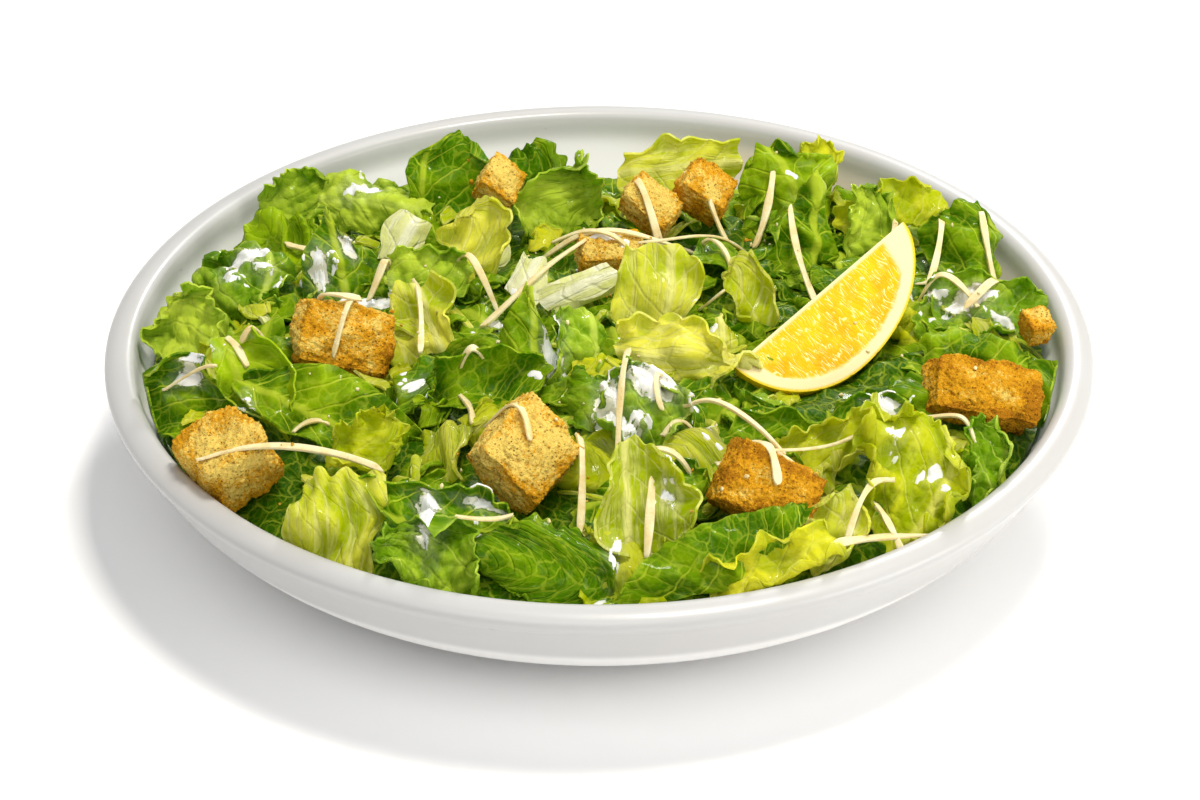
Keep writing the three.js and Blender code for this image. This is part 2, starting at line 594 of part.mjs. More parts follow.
function heapSolid(toppings) {
  const room = roomSolid();
  const fit = (solid) => toppings.reduce((left, topping) => left.subtract(topping), solid.intersect(room));
  const pieces = [...LEAVES, ...fillerLeaves()].map(leafSolid);
  const bodies = wasm.Manifold.union([coreSolid(), ...pieces]).decompose();
  const stubs = looseLeaves(bodies).map(stubSolid);
  const lettuce = largestBody(fit(wasm.Manifold.union([...bodies, ...stubs])));
  const topAt = topFinder(lettuce);
  const shreds = fit(wasm.Manifold.union(SHREDS.map((shred) => shredSolid(shred, topAt))));
  return largestBody(largestBody(lettuce.add(shreds)).simplify(SLIVER));
}

// ---------------------------------------------------------------- the object

const MATERIALS = {
  glaze: new THREE.MeshStandardMaterial({ color: 0xf1f0ec, roughness: 0.3, metalness: 0 }),
  romaine: new THREE.MeshStandardMaterial({ color: 0x6f9a22, roughness: 0.5, metalness: 0 }),
  toast: new THREE.MeshStandardMaterial({ color: 0xd2a04a, roughness: 0.85, metalness: 0 }),
  lemon: new THREE.MeshStandardMaterial({ color: 0xf4cf2e, roughness: 0.4, metalness: 0 }),
};

const salad = new THREE.Group();
salad.name = "caesar_salad";
salad.add(named("bowl", bowlGeometry(), MATERIALS.glaze));

const toppings = [lemonSolid(GAP)];
Object.entries(CROUTONS).forEach(([name, place], index) => {
  salad.add(named(name, placedCrouton(place, index + 1, 0), MATERIALS.toast));
  toppings.push(toSolid(placedCrouton(place, index + 1, GAP)));
});
salad.add(named("lemon_wedge", toGeometry(lemonSolid(0)), MATERIALS.lemon));
salad.add(named("lettuce_heap", toGeometry(heapSolid(toppings)), MATERIALS.romaine));

export default salad;
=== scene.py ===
"""A caesar salad in a wide shallow bowl: romaine, croutons, a lemon wedge, parmesan and dressing.

Lengths are millimetres until a mesh is written, +Z is up, and -Y faces the diner. Each
sub-assembly is a class with its own sizes. What the frame carries stays where the frame has it.
"""

from __future__ import annotations

import logging
import math
from dataclasses import dataclass
from enum import Enum
from functools import cache
from typing import Any, Callable, Sequence

import bpy
import numpy as np
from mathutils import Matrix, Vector
from mathutils.bvhtree import BVHTree

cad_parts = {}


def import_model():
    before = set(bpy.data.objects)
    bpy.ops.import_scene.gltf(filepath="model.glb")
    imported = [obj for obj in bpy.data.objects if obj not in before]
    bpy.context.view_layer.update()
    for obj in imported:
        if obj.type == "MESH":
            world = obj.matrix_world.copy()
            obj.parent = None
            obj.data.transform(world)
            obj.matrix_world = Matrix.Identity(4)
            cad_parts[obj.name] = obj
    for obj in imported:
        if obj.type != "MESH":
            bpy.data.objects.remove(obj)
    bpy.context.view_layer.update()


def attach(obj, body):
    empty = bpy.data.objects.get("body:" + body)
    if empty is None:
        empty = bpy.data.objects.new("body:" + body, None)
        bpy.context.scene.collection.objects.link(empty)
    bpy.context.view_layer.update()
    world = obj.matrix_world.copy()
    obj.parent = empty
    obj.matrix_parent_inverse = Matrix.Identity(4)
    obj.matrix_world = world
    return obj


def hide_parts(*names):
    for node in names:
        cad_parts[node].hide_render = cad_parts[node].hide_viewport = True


LOG = logging.getLogger("salad")
MM = 0.001
BODY = "root"
HEAP_NODE = "lettuce_heap"
GOLDEN_ANGLE = 137.508
VIEW_TILT = 32.52  # the camera looks down by this many degrees
POSE_TILT = 32.5  # a leaf's pose is given for a view that looks down by this many degrees

Array = np.ndarray
Material = bpy.types.Material
Piece = bpy.types.Object
Rgb = tuple[int, int, int]
Pair = tuple[float, float]
Triple = tuple[float, float, float]
Spot = Sequence[float]


# -------------------------------- small helpers


def linear(colour: Rgb) -> tuple[float, float, float, float]:
    """Turns a screen colour of 0 to 255 into the linear values that shaders take.

    Args:
        colour: Red, green and blue as shown on a screen.

    Returns:
        Linear red, green and blue, and full alpha.
    """
    shares = [value / 255 for value in colour]
    lit = [((s + 0.055) / 1.055) ** 2.4 if s > 0.04045 else s / 12.92 for s in shares]
    return (lit[0], lit[1], lit[2], 1.0)


def smooth(low: float, high: float, value: Array) -> Array:
    """A soft step from 0 at low to 1 at high.

    Args:
        low: Where the step begins.
        high: Where the step ends.
        value: What is stepped.

    Returns:
        Values from 0 to 1.
    """
    share = np.clip((value - low) / (high - low), 0, 1)
    return share * share * (3 - 2 * share)


def seeded(seed: int) -> Callable[..., float]:
    """A repeatable random source, the same one that the part's own leaves are laid by.

    Args:
        seed: Any whole number.

    Returns:
        A function that gives the next number between two values, which are 0 and 1 if none are given.
    """
    mask = 0xFFFFFFFF
    state = seed & mask

    def between(low: float = 0.0, high: float = 1.0) -> float:
        nonlocal state
        state = (state + 0x6D2B79F5) & mask
        mixed = ((state ^ (state >> 15)) * (1 | state)) & mask
        mixed = ((mixed + (((mixed ^ (mixed >> 7)) * (61 | mixed)) & mask)) & mask) ^ mixed
        share = ((mixed ^ (mixed >> 14)) & mask) / 4294967296
        return low + (high - low) * share

    return between


def on_spiral(number: int, count: int, reach: float) -> Pair:
    """One of many places that are spread evenly over a disc.

    Args:
        number: Which of the places, from the middle outwards.
        count: How many there are.
        reach: The disc's radius.

    Returns:
        Its x and y.
    """
    radius = reach * math.sqrt((number + 0.5) / count)
    turn = math.radians(number * GOLDEN_ANGLE)
    return radius * math.cos(turn), radius * math.sin(turn)


def in_disc(rng: np.random.Generator, reach: float) -> Pair:
    """A random place in a disc round the middle.

    Args:
        rng: The random source.
        reach: The disc's radius.

    Returns:
        Its x and y.
    """
    radius = reach * math.sqrt(rng.uniform())
    turn = rng.uniform(0, 2 * math.pi)
    return radius * math.cos(turn), radius * math.sin(turn)


def beside(rng: np.random.Generator, spot: Spot, span: float, shares: Pair) -> Pair:
    """A random place round another.

    Args:
        rng: The random source.
        spot: The x and y of the other.
        span: A length.
        shares: The least and the greatest distance, as shares of that length.

    Returns:
        Its x and y.
    """
    away = span * rng.uniform(*shares)
    turn = rng.uniform(0, 2 * math.pi)
    return spot[0] + away * math.cos(turn), spot[1] + away * math.sin(turn)


def unit(vectors: Array) -> Array:
    """Vectors of length one.

    Args:
        vectors: Rows of vectors.

    Returns:
        The same directions with length one.
    """
    return vectors / np.maximum(np.linalg.norm(vectors, axis=-1, keepdims=True), 1e-9)


@dataclass(frozen=True)
class Ripple:
    """A smooth uneven height: sines of about one wavelength that run in many directions."""

    wavelength: float
    seed: int
    waves: int = 9

    def at(self, points: Array) -> Array:
        """The height at each point, about -1 to 1.

        Args:
            points: Rows of places, in two or three dimensions.

        Returns:
            One height for each row.
        """
        rng = np.random.default_rng(self.seed)
        directions = unit(rng.normal(size=(self.waves, points.shape[-1])))
        lengths = self.wavelength * rng.uniform(0.65, 1.5, self.waves)
        phases = rng.uniform(0, 2 * math.pi, self.waves)
        turns = points @ (directions.T * (2 * math.pi / lengths)) + phases
        return np.sin(turns).sum(axis=-1) / math.sqrt(self.waves)


@dataclass(frozen=True)
class Cells:
    """Uneven cells over a plane or a space, such as the blisters of a leaf or the pores of bread."""

    size: float
    seed: int

    def nearest(self, points: Array) -> tuple[Array, Array, Array]:
        """How far each point is from the middles of the two nearest cells.

        Args:
            points: Rows of places, in two or three dimensions.

        Returns:
            The two distances, and a number from 0 to 1 that belongs to the nearest cell.
        """
        scaled = points / self.size
        home = np.floor(scaled)
        first = np.full(len(points), 1e9)
        second = np.full(len(points), 1e9)
        mark = np.zeros(len(points))
        dims = points.shape[-1]
        steps = np.stack(np.meshgrid(*([[-1, 0, 1]] * dims), indexing="ij"), -1).reshape(-1, dims)
        for step in steps:
            cell = home + step
            middle = cell + self._scatter(cell, dims)
            away = np.linalg.norm(scaled - middle, axis=-1)
            closer = away < first
            second = np.where(closer, first, np.minimum(second, away))
            mark = np.where(closer, self._hash(cell, 7.31), mark)
            first = np.where(closer, away, first)
        return first * self.size, second * self.size, mark

    def _hash(self, cell: Array, salt: float) -> Array:
        """A number from 0 to 1 for each cell."""
        weights = np.array([127.1, 311.7, 74.7])[: cell.shape[-1]]
        mixed = np.sin(cell @ weights + self.seed * 13.7 + salt) * 43758.5453
        return mixed - np.floor(mixed)

    def _scatter(self, cell: Array, dims: int) -> Array:
        """Where in its square or cube each cell has its middle."""
        return np.stack([0.1 + 0.8 * self._hash(cell, axis * 3.17) for axis in range(dims)], -1)


# -------------------------------- making meshes


def deselect() -> None:
    """Leaves nothing selected, so that an operator acts only on what is made next."""
    bpy.ops.object.select_all(action="DESELECT")


def select_only(piece: Piece) -> None:
    """Makes one piece the only one that an operator acts on."""
    deselect()
    piece.select_set(True)
    bpy.context.view_layer.objects.active = piece


def read_points(piece: Piece) -> Array:
    """The vertex places of a mesh as rows.

    Args:
        piece: A mesh object.

    Returns:
        One row for each vertex, in the mesh's own units.
    """
    points = np.empty(len(piece.data.vertices) * 3)
    piece.data.vertices.foreach_get("co", points)
    return points.reshape(-1, 3)


def write_points(piece: Piece, points: Array) -> None:
    """Moves the vertices of a mesh.

    Args:
        piece: A mesh object.
        points: One row for each vertex, in metres.
    """
    piece.data.vertices.foreach_set("co", points.astype(np.float32).ravel())
    piece.data.update()


def write_value(piece: Piece, name: str, values: Array) -> None:
    """Stores a number on each vertex, for a material to read.

    Args:
        piece: A mesh object.
        name: What the material calls it.
        values: One number for each vertex.
    """
    layer = piece.data.attributes.get(name) or piece.data.attributes.new(name, "FLOAT", "POINT")
    layer.data.foreach_set("value", np.asarray(values, np.float32))


def write_chart(piece: Piece, flat: Array) -> None:
    """Stores where each vertex lies on its sheet, as the mesh's UV map.

    Args:
        piece: A mesh object with one UV map.
        flat: Two numbers for each vertex, in millimetres along and across.
    """
    corners = np.empty(len(piece.data.loops), np.int32)
    piece.data.loops.foreach_get("vertex_index", corners)
    layer = piece.data.uv_layers[0]
    layer.name = "chart"
    layer.data.foreach_set("uv", flat[corners].astype(np.float32).ravel())


def new_grid(name: str, across: int, along: int) -> tuple[Piece, Array, Array]:
    """A flat grid to be bent into a sheet.

    Args:
        name: The object's name.
        across: Faces across.
        along: Faces along.

    Returns:
        The object, then s from -1 to 1 across and t from 0 to 1 along for each vertex.
    """
    deselect()
    bpy.ops.mesh.primitive_grid_add(x_subdivisions=across, y_subdivisions=along, size=2)
    piece = bpy.context.object
    piece.name = name
    flat = read_points(piece)
    return piece, flat[:, 0].copy(), (flat[:, 1] + 1) / 2


def apply_modifier(piece: Piece, kind: str, **settings: Any) -> None:
    """Adds a modifier and applies it.

    Args:
        piece: A mesh object.
        kind: The modifier's type.
        **settings: Its values.
    """
    bpy.context.view_layer.objects.active = piece
    modifier = piece.modifiers.new(kind.lower(), kind)
    for key, value in settings.items():
        setattr(modifier, key, value)
    bpy.ops.object.modifier_apply(modifier=modifier.name)


def thicken(piece: Piece, thickness: float, offset: float = 0.0) -> None:
    """Turns a sheet into a closed shell.

    Args:
        piece: The sheet.
        thickness: The shell's thickness in millimetres.
        offset: 0 to grow both ways, -1 to grow away from the faces' normals.
    """
    apply_modifier(piece, "SOLIDIFY", thickness=thickness * MM, offset=offset)


def join(name: str, pieces: Sequence[Piece]) -> Piece:
    """Makes several meshes one object.

    Args:
        name: The new object's name.
        pieces: The meshes, at least one.

    Returns:
        The joined object.
    """
    deselect()
    for piece in pieces:
        piece.select_set(True)
    bpy.context.view_layer.objects.active = pieces[0]
    if len(pieces) > 1:
        bpy.ops.object.join()
    joined = bpy.context.object
    joined.name = name
    return joined


def shade_smooth(piece: Piece, angle: float) -> None:
    """Shades a piece smooth where its faces meet at less than an angle.

    Args:
        piece: A mesh object.
        angle: The angle in degrees.
    """
    select_only(piece)
    bpy.ops.object.shade_smooth_by_angle(angle=math.radians(angle))


def tidy_shell(piece: Piece, apart: float, smooth_angle: float) -> None:
    """Merges doubles, turns all faces outwards and shades the piece smooth up to an angle.

    Args:
        piece: A closed mesh.
        apart: Vertices nearer than this are merged, in millimetres.
        smooth_angle: Edges sharper than this stay sharp, in degrees.
    """
    select_only(piece)
    bpy.ops.object.mode_set(mode="EDIT")
    bpy.ops.mesh.select_all(action="SELECT")
    bpy.ops.mesh.remove_doubles(threshold=apart * MM)
    bpy.ops.mesh.normals_make_consistent(inside=False)
    bpy.ops.object.mode_set(mode="OBJECT")
    shade_smooth(piece, smooth_angle)


def dress(piece: Piece, material: Material, node: str) -> Piece:
    """Gives a piece its one material, the body that it rides on and the node that it stands for.

    Args:
        piece: A mesh object in place.
        material: Its finish.
        node: The frame's node that the piece replaces.

    Returns:
        The piece.
    """
    piece.data.materials.clear()
    piece.data.materials.append(material)
    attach(piece, BODY)
    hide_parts(node)
    LOG.info("%s: %d faces", piece.name, len(piece.data.polygons))
    return piece


# -------------------------------- shader maths


class Wire:
    """A value or colour that runs between shader nodes, with the usual signs of arithmetic."""

    def __init__(self, paint: Paint, socket: bpy.types.NodeSocket) -> None:
        """Keeps the socket and the material that it is in."""
        self.paint = paint
        self.socket = socket

    def _with(self, operation: str, *others: Any) -> Wire:
        """A Math node on this value and others."""
        inputs = dict(enumerate((self, *others)))
        return self.paint.node("ShaderNodeMath", {"operation": operation}, inputs)

    def _from(self, operation: str, other: Any) -> Wire:
        """A Math node on another value and this one."""
        return self.paint.node("ShaderNodeMath", {"operation": operation}, {0: other, 1: self})

    def __add__(self, other: Any) -> Wire:
        """This value and another."""
        return self._with("ADD", other)

    __radd__ = __add__

    def __sub__(self, other: Any) -> Wire:
        """This value less another."""
        return self._with("SUBTRACT", other)

    def __rsub__(self, other: Any) -> Wire:
        """Another value less this one."""
        return self._from("SUBTRACT", other)

    def __mul__(self, other: Any) -> Wire:
        """This value times another."""
        return self._with("MULTIPLY", other)

    __rmul__ = __mul__

    def __truediv__(self, other: Any) -> Wire:
        """This value over another."""
        return self._with("DIVIDE", other)

    def __abs__(self) -> Wire:
        """This value without its sign."""
        return self._with("ABSOLUTE")

    def most(self, other: Any) -> Wire:
        """The larger of this value and another."""
        return self._with("MAXIMUM", other)

    def to_whole(self) -> Wire:
        """How far this value is from the nearest whole number."""
        return abs(self - self._with("ROUND"))

    def step(self, low: float, high: float) -> Wire:
        """A soft step from 0 at low to 1 at high. With low above high it falls."""
        settings = {"interpolation_type": "SMOOTHSTEP"}
        inputs = {0: self, 1: low, 2: high, 3: 0.0, 4: 1.0}
        if low > high:
            inputs = {0: self, 1: high, 2: low, 3: 1.0, 4: 0.0}
        return self.paint.node("ShaderNodeMapRange", settings, inputs)


class Paint:
    """One material under construction."""

    def __init__(self, name: str) -> None:
        """Starts an empty material."""
        self.material = bpy.data.materials.new(name)
        self.material.use_nodes = True
        self.tree = self.material.node_tree
        self.tree.nodes.clear()

    def node(
        self,
        kind: str,
        settings: dict[str, Any] | None = None,
        inputs: dict[int | str, Any] | None = None,
        output: int | str = 0,
    ) -> Wire:
        """Adds any node.

        Args:
            kind: The node's type.
            settings: Its properties, set first.
            inputs: Values or wires for its sockets, by place or name.
            output: Which of its outputs is wanted.

        Returns:
            A wire from that output.
        """
        node = self.tree.nodes.new(kind)
        for key, value in (settings or {}).items():
            setattr(node, key, value)
        for key, value in (inputs or {}).items():
            if isinstance(value, Wire):
                self.tree.links.new(value.socket, node.inputs[key])
            else:
                node.inputs[key].default_value = value
        return Wire(self, node.outputs[output])

    def blend(self, share: Any, first: Any, second: Any) -> Wire:
        """Mixes two colours.

        Args:
            share: How much of the second, 0 to 1.
            first: A colour or a wire.
            second: A colour or a wire.

        Returns:
            The mixed colour.
        """
        settings = {"data_type": "RGBA", "blend_type": "MIX", "clamp_factor": True}
        return self.node("ShaderNodeMix", settings, {0: share, 6: first, 7: second}, 2)

    def value(self, name: str) -> Wire:
        """A number stored on the mesh."""
        return self.node("ShaderNodeAttribute", {"attribute_name": name}, output="Fac")

    def chart(self) -> Wire:
        """The place on the sheet, in millimetres along and across."""
        return self.node("ShaderNodeUVMap", {"uv_map": "chart"})

    def place(self) -> Wire:
        """The place in space, in millimetres."""
        spot = self.node("ShaderNodeTexCoord", output="Object")
        return self.node("ShaderNodeVectorMath", {"operation": "SCALE"}, {0: spot, "Scale": 1 / MM})

    def stretched(self, vector: Wire, by: Triple) -> Wire:
        """A place stretched by its own amount along each axis."""
        return self.node("ShaderNodeVectorMath", {"operation": "MULTIPLY"}, {0: vector, 1: by})

    def parts(self, vector: Wire) -> tuple[Wire, Wire, Wire]:
        """The three numbers of a place."""
        split = self.node("ShaderNodeSeparateXYZ", None, {0: vector})
        return tuple(Wire(self, output) for output in split.socket.node.outputs)

    def noise(self, vector: Wire, size: float, detail: float = 2.0, rough: float = 0.5) -> Wire:
        """Soft blotches of about a size, 0 to 1."""
        inputs = {"Vector": vector, "Scale": 1 / size, "Detail": detail, "Roughness": rough}
        return self.node("ShaderNodeTexNoise", {"noise_dimensions": "3D"}, inputs)

    def shaken(self, vector: Wire, pace: float, by: float) -> Wire:
        """A place moved a little each way, so that nothing drawn by it runs straight."""
        inputs = {"Vector": vector, "Scale": pace}
        shake = self.node("ShaderNodeTexNoise", {"noise_dimensions": "2D"}, inputs, "Color")
        shift = self.node("ShaderNodeVectorMath", {"operation": "SCALE"}, {0: shake, "Scale": by})
        return self.node("ShaderNodeVectorMath", {"operation": "ADD"}, {0: vector, 1: shift})

    def cells(self, vector: Wire, size: float, feature: str = "F1", flat: bool = False) -> Wire:
        """The distance to cells of a size, or to their borders, in cell widths."""
        settings = {"feature": feature, "voronoi_dimensions": "2D" if flat else "3D"}
        inputs = {"Vector": vector, "Scale": 1 / size}
        return self.node("ShaderNodeTexVoronoi", settings, inputs, "Distance")

    def bump(self, height: Wire, depth: float) -> Wire:
        """A normal from a height.

        Args:
            height: The height, 0 to 1.
            depth: What a height of 1 stands for, in millimetres.

        Returns:
            The new normal.
        """
        inputs = {"Height": height, "Distance": depth * MM, "Strength": 1.0}
        return self.node("ShaderNodeBump", None, inputs)

    def surface(self, glow: Wire | None = None, share: Any = 0.0, **inputs: Any) -> None:
        """Gives the material its main shader, mixed with light that comes through a thin piece.

        Args:
            glow: A shader for the light that comes through.
            share: How much of it.
            **inputs: Values or wires by socket name, with _ for a space.
        """
        named = {key.replace("_", " "): value for key, value in inputs.items()}
        whole = self.node("ShaderNodeBsdfPrincipled", None, named)
        if glow is not None:
            whole = self.node("ShaderNodeMixShader", None, {0: share, 1: whole, 2: glow})
        output = self.tree.nodes.new("ShaderNodeOutputMaterial")
        self.tree.links.new(whole.socket, output.inputs["Surface"])


# -------------------------------- finishes


@dataclass(frozen=True)
class Finish:
    """A material with a name of its own."""

    name: str

    @cache
    def material(self) -> Material:
        """The finish, which is built once.

        Returns:
            The finished material.
        """
        paint = Paint(self.name)
        self._lay(paint)
        return paint.material

    def _lay(self, paint: Paint) -> None:
        """Lays the colours, the gloss and the relief."""
        raise NotImplementedError


@dataclass(frozen=True)
class LeafFinish(Finish):
    """Romaine blade: veined, mottled, damp, lit through where it is thin, with painted highlight and shade on
    its blisters and painted light along its edges.
    """

    deep: Rgb
    middle: Rgb
    light: Rgb
    vein: Rgb
    glow: Rgb
    through: float  # how much light comes through
    net_size: float  # the meshes of the finer veins
    net_share: float
    fibre: float  # how far pale fibres show along the piece
    vein_gap: float = 9.0
    film: Rgb = (238, 234, 218)
    sheen: Rgb = (206, 234, 60)  # what the leaf's own skin mirrors

    def _lay(self, paint: Paint) -> None:
        """Lays the colours, the gloss and the relief."""
        chart = paint.chart()
        along, across, _ = paint.parts(chart)
        tone, coat, rim, high = (paint.value(name) for name in ("tone", "coat", "rim", "high"))
        aside = abs(across)
        wander = paint.noise(chart, 12.0, 2.0)
        branch = (along - 0.9 * aside - 0.012 * aside * aside + wander * 7.0) / self.vein_gap
        side_line = branch.to_whole().step(0.05, 0.02) * aside.step(24.0, 12.0)
        shaken = paint.shaken(chart, 0.25, 3.0)
        border = paint.cells(shaken, self.net_size, "DISTANCE_TO_EDGE", flat=True)
        mesh = paint.cells(shaken, self.net_size * 0.4, "DISTANCE_TO_EDGE", flat=True)
        net = border.step(0.085, 0.03).most(mesh.step(0.12, 0.04) * 0.4)
        midrib = aside.step(1.6, 0.6)
        blotch = paint.noise(chart, 7.0, 3.0, 0.6)
        fine = paint.noise(chart, 0.9, 3.0, 0.7)
        mottle = (blotch - 0.5) * 1.4 + (fine - 0.5) * 0.9 + 0.5
        blade = paint.blend(mottle, linear(self.deep), linear(self.middle))
        blade = paint.blend((tone + (blotch - 0.5) * 0.6).step(0.0, 1.0), blade, linear(self.light))
        # Painted highlight: the tops of the blisters are drawn towards light.
        blade = paint.blend(high.step(0.5, 1.0) * 0.4, blade, linear(self.light))
        # low: darker tones go towards deep, and so does painted shade in the grooves between the blisters.
        low = ((0.0 - tone).step(0.2, 1.0) * 0.9).most(high.step(0.45, 0.0) * 0.55)
        blade = paint.blend(low, blade, linear(self.deep))
        veins = (net * self.net_share).most(side_line * (0.4 + self.net_share)).most(midrib * 0.8)
        fibres = paint.noise(paint.stretched(chart, (0.1, 1.0, 1.0)), 1.5, 3.0, 0.6).step(0.46, 0.64)
        veins = veins.most(fibres * self.fibre)
        # cut is painted light along the rim, where light would come through the thin edge.
        cut = rim * blotch.step(0.45, 0.62) * 0.6
        blade = paint.blend(veins.most(cut), blade, linear(self.vein))
        smear = paint.noise(paint.stretched(chart, (0.7, 1.2, 1.0)), 3.2, 4.0, 0.6)
        soaked = coat + (smear - 0.5) * 1.1
        veil = soaked.step(0.15, 0.6) * 0.16
        milk = soaked.step(0.58, 0.66)
        colour = paint.blend(veil.most(milk * 0.9), blade, linear(self.film))
        wet = paint.noise(chart, 5.0, 2.0).step(0.46, 0.56)
        relief = border.step(0.0, 0.4) * 0.5 + branch.to_whole().step(0.0, 0.1) * 0.5 + fine * 0.4
        relief = relief - fibres * self.fibre
        height = relief * (1.0 - milk * 0.9) + soaked.step(0.46, 0.66)
        glow = paint.node("ShaderNodeBsdfTranslucent", None, {"Color": linear(self.glow)})
        paint.surface(
            glow,
            (1.0 - milk * 0.8) * self.through,
            Base_Color=colour,
            Roughness=0.46 + (blotch - 0.5) * 0.3 - wet * 0.16 - milk * 0.1,
            Specular_IOR_Level=0.25,
            Specular_Tint=linear(self.sheen),
            Coat_Weight=wet * 0.2 + milk * 0.3,
            Coat_Roughness=0.08,
            Normal=paint.bump(height, 0.4),
        )


@dataclass(frozen=True)
class GlazeFinish(Finish):
    """White stoneware glaze with a few grey scuffs by the rim, painted light inside and painted shade at the
    back right.
    """

    name: str = "bowl_glaze"
    white: Rgb = (192, 192, 191)
    warm: Rgb = (187, 185, 182)
    # inside is painted light: the same glaze, drawn lighter on the inner wall than outside
    inside: Rgb = (232, 231, 229)
    painted_warm_shade: Rgb = (212, 200, 180)  # painted shade: a faint warm shadow on the inner wall, at the back right
    scuff: Rgb = (160, 156, 150)

    def _lay(self, paint: Paint) -> None:
        """Lays the colours, the gloss and the relief."""
        place = paint.place()
        x, y, height = paint.parts(place)
        cloud = paint.noise(place, 70.0, 2.0)
        body = paint.blend(cloud.step(0.35, 0.7) * 0.5, linear(self.white), linear(self.warm))
        flat = paint.stretched(place, (1.0, 1.0, 0.0))
        reach = paint.node("ShaderNodeVectorMath", {"operation": "LENGTH"}, {0: flat}, "Value")
        # Painted light: nearer the axis than the rim, and higher than 6 to 9 mm, the glaze takes the lighter
        # inside colour.
        inner = reach.step(132.0, 129.0) * height.step(6.0, 9.0)
        body = paint.blend(inner, body, linear(self.inside))
        # Painted shade: towards the back right the inner wall is drawn warmer and darker.
        painted_warm_shade = (x + y).step(130.0, 170.0) * inner * cloud.step(0.25, 0.6)
        body = paint.blend(painted_warm_shade, body, linear(self.painted_warm_shade))
        spots = paint.noise(paint.stretched(place, (1.0, 1.0, 2.5)), 5.0, 4.0, 0.65)
        near_rim = height.step(34.0, 40.0) * height.step(44.5, 41.5)
        marks = spots.step(0.66, 0.74) * near_rim
        colour = paint.blend(marks * 0.6, body, linear(self.scuff))
        orange_peel = paint.noise(place, 3.0, 2.0)
        paint.surface(
            Base_Color=colour,
            Roughness=0.3 + spots * 0.1,
            Specular_IOR_Level=0.4,
            Coat_Weight=0.15,
            Coat_Roughness=0.1,
            Normal=paint.bump(orange_peel, 0.03),
        )


@dataclass(frozen=True)
class ToastFinish(Finish):
    """Toasted bread: golden faces, browned edges, open crumb with painted shade in its pores, and specks of
    herb.
    """

    name: str = "toast"
    crumb: Rgb = (250, 216, 108)
    golden: Rgb = (228, 164, 28)
    brown: Rgb = (174, 112, 14)
    # pore: painted shade in the pits and holes of the crumb
    pore: Rgb = (164, 106, 22)
    herb: Rgb = (56, 42, 6)

    def _lay(self, paint: Paint) -> None:
        """Lays the colours, the gloss and the relief."""
        place = paint.place()
        toast, pit = paint.value("toast"), paint.value("pit")
        patch = paint.noise(place, 8.0, 2.0, 0.6)
        crust = paint.noise(place, 2.4, 3.0, 0.7)
        grain = paint.noise(place, 1.0, 3.0, 0.75)
        browned = toast + (patch - 0.5) * 0.9 + (crust - 0.5) * 0.7 + (grain - 0.5) * 2.2
        colour = paint.blend(browned.step(-0.1, 0.45), linear(self.crumb), linear(self.golden))
        colour = paint.blend(browned.step(0.5, 1.1) * 0.9, colour, linear(self.brown))
        # Painted shade: the pits and the holes are drawn darker towards pore.
        colour = paint.blend(pit.step(0.25, 0.9) * 0.4, colour, linear(self.pore))
        holes = paint.cells(place, 1.2).step(0.32, 0.14) * crust.step(0.42, 0.54)
        colour = paint.blend(holes * 0.6, colour, linear(self.pore))
        chosen = paint.noise(place, 4.0, 1.0).step(0.48, 0.56)
        specks = paint.cells(place, 1.5).step(0.2, 0.1) * chosen
        colour = paint.blend(specks * 0.9, colour, linear(self.herb))
        normal = paint.bump(crust * 0.6 + grain * 1.4 - holes * 0.6, 1.0)
        paint.surface(
            Base_Color=colour,
            Roughness=0.85 - browned.step(0.3, 1.0) * 0.2,
            Specular_IOR_Level=0.1,
            Subsurface_Weight=0.08,
            Subsurface_Radius=(1.0, 0.5, 0.2),
            Subsurface_Scale=0.003,
            Normal=normal,
        )


@dataclass(frozen=True)
class LemonFinish(Finish):
    """Lemon: juicy flesh of many small sacs, white pith and waxy peel."""

    name: str = "lemon"
    juice: Rgb = (241, 175, 0)
    bright_juice: Rgb = (247, 198, 6)
    pale_juice: Rgb = (244, 196, 16)
    wall: Rgb = (255, 240, 164)
    pith: Rgb = (242, 224, 170)
    peel: Rgb = (232, 198, 10)
    gland: Rgb = (196, 168, 8)

    def _lay(self, paint: Paint) -> None:
        """Lays the colours, the gloss and the relief."""
        chart = paint.chart()
        flesh, peel, pale = paint.value("flesh"), paint.value("peel"), paint.value("pale")
        shade = paint.noise(chart, 11.0, 2.0)
        streak = paint.noise(paint.stretched(chart, (1.0, 0.16, 1.0)), 1.1, 3.0, 0.6)
        juice = paint.blend(shade.step(0.35, 0.65), linear(self.juice), linear(self.bright_juice))
        juice = paint.blend(pale + (streak - 0.5) * 0.5, juice, linear(self.pale_juice))
        sacs_at = paint.stretched(paint.shaken(chart, 0.12, 3.0), (1.0, 0.16, 1.0))
        sacs = paint.cells(sacs_at, 1.0, "DISTANCE_TO_EDGE", flat=True)
        lines = sacs.step(0.1, 0.02) * paint.noise(chart, 2.6, 2.0).step(0.45, 0.55)
        juice = paint.blend(lines * 0.9, juice, linear(self.wall))
        glands = paint.cells(chart, 1.5, flat=True).step(0.3, 0.12)
        rind = paint.blend(glands * 0.35, linear(self.peel), linear(self.gland))
        rest = paint.blend(peel, linear(self.pith), rind)
        colour = paint.blend(flesh, rest, juice)
        height = sacs.step(0.0, 0.3) * flesh - glands * peel * 0.4
        paint.surface(
            Base_Color=colour,
            Roughness=0.5 - flesh * 0.12 - peel * 0.1,
            Specular_IOR_Level=0.2,
            Coat_Weight=flesh * 0.06 + peel * 0.15,
            Coat_Roughness=0.15,
            Subsurface_Weight=0.1,
            Subsurface_Radius=(1.0, 0.6, 0.12),
            Subsurface_Scale=0.004,
            Normal=paint.bump(height, 0.12),
        )


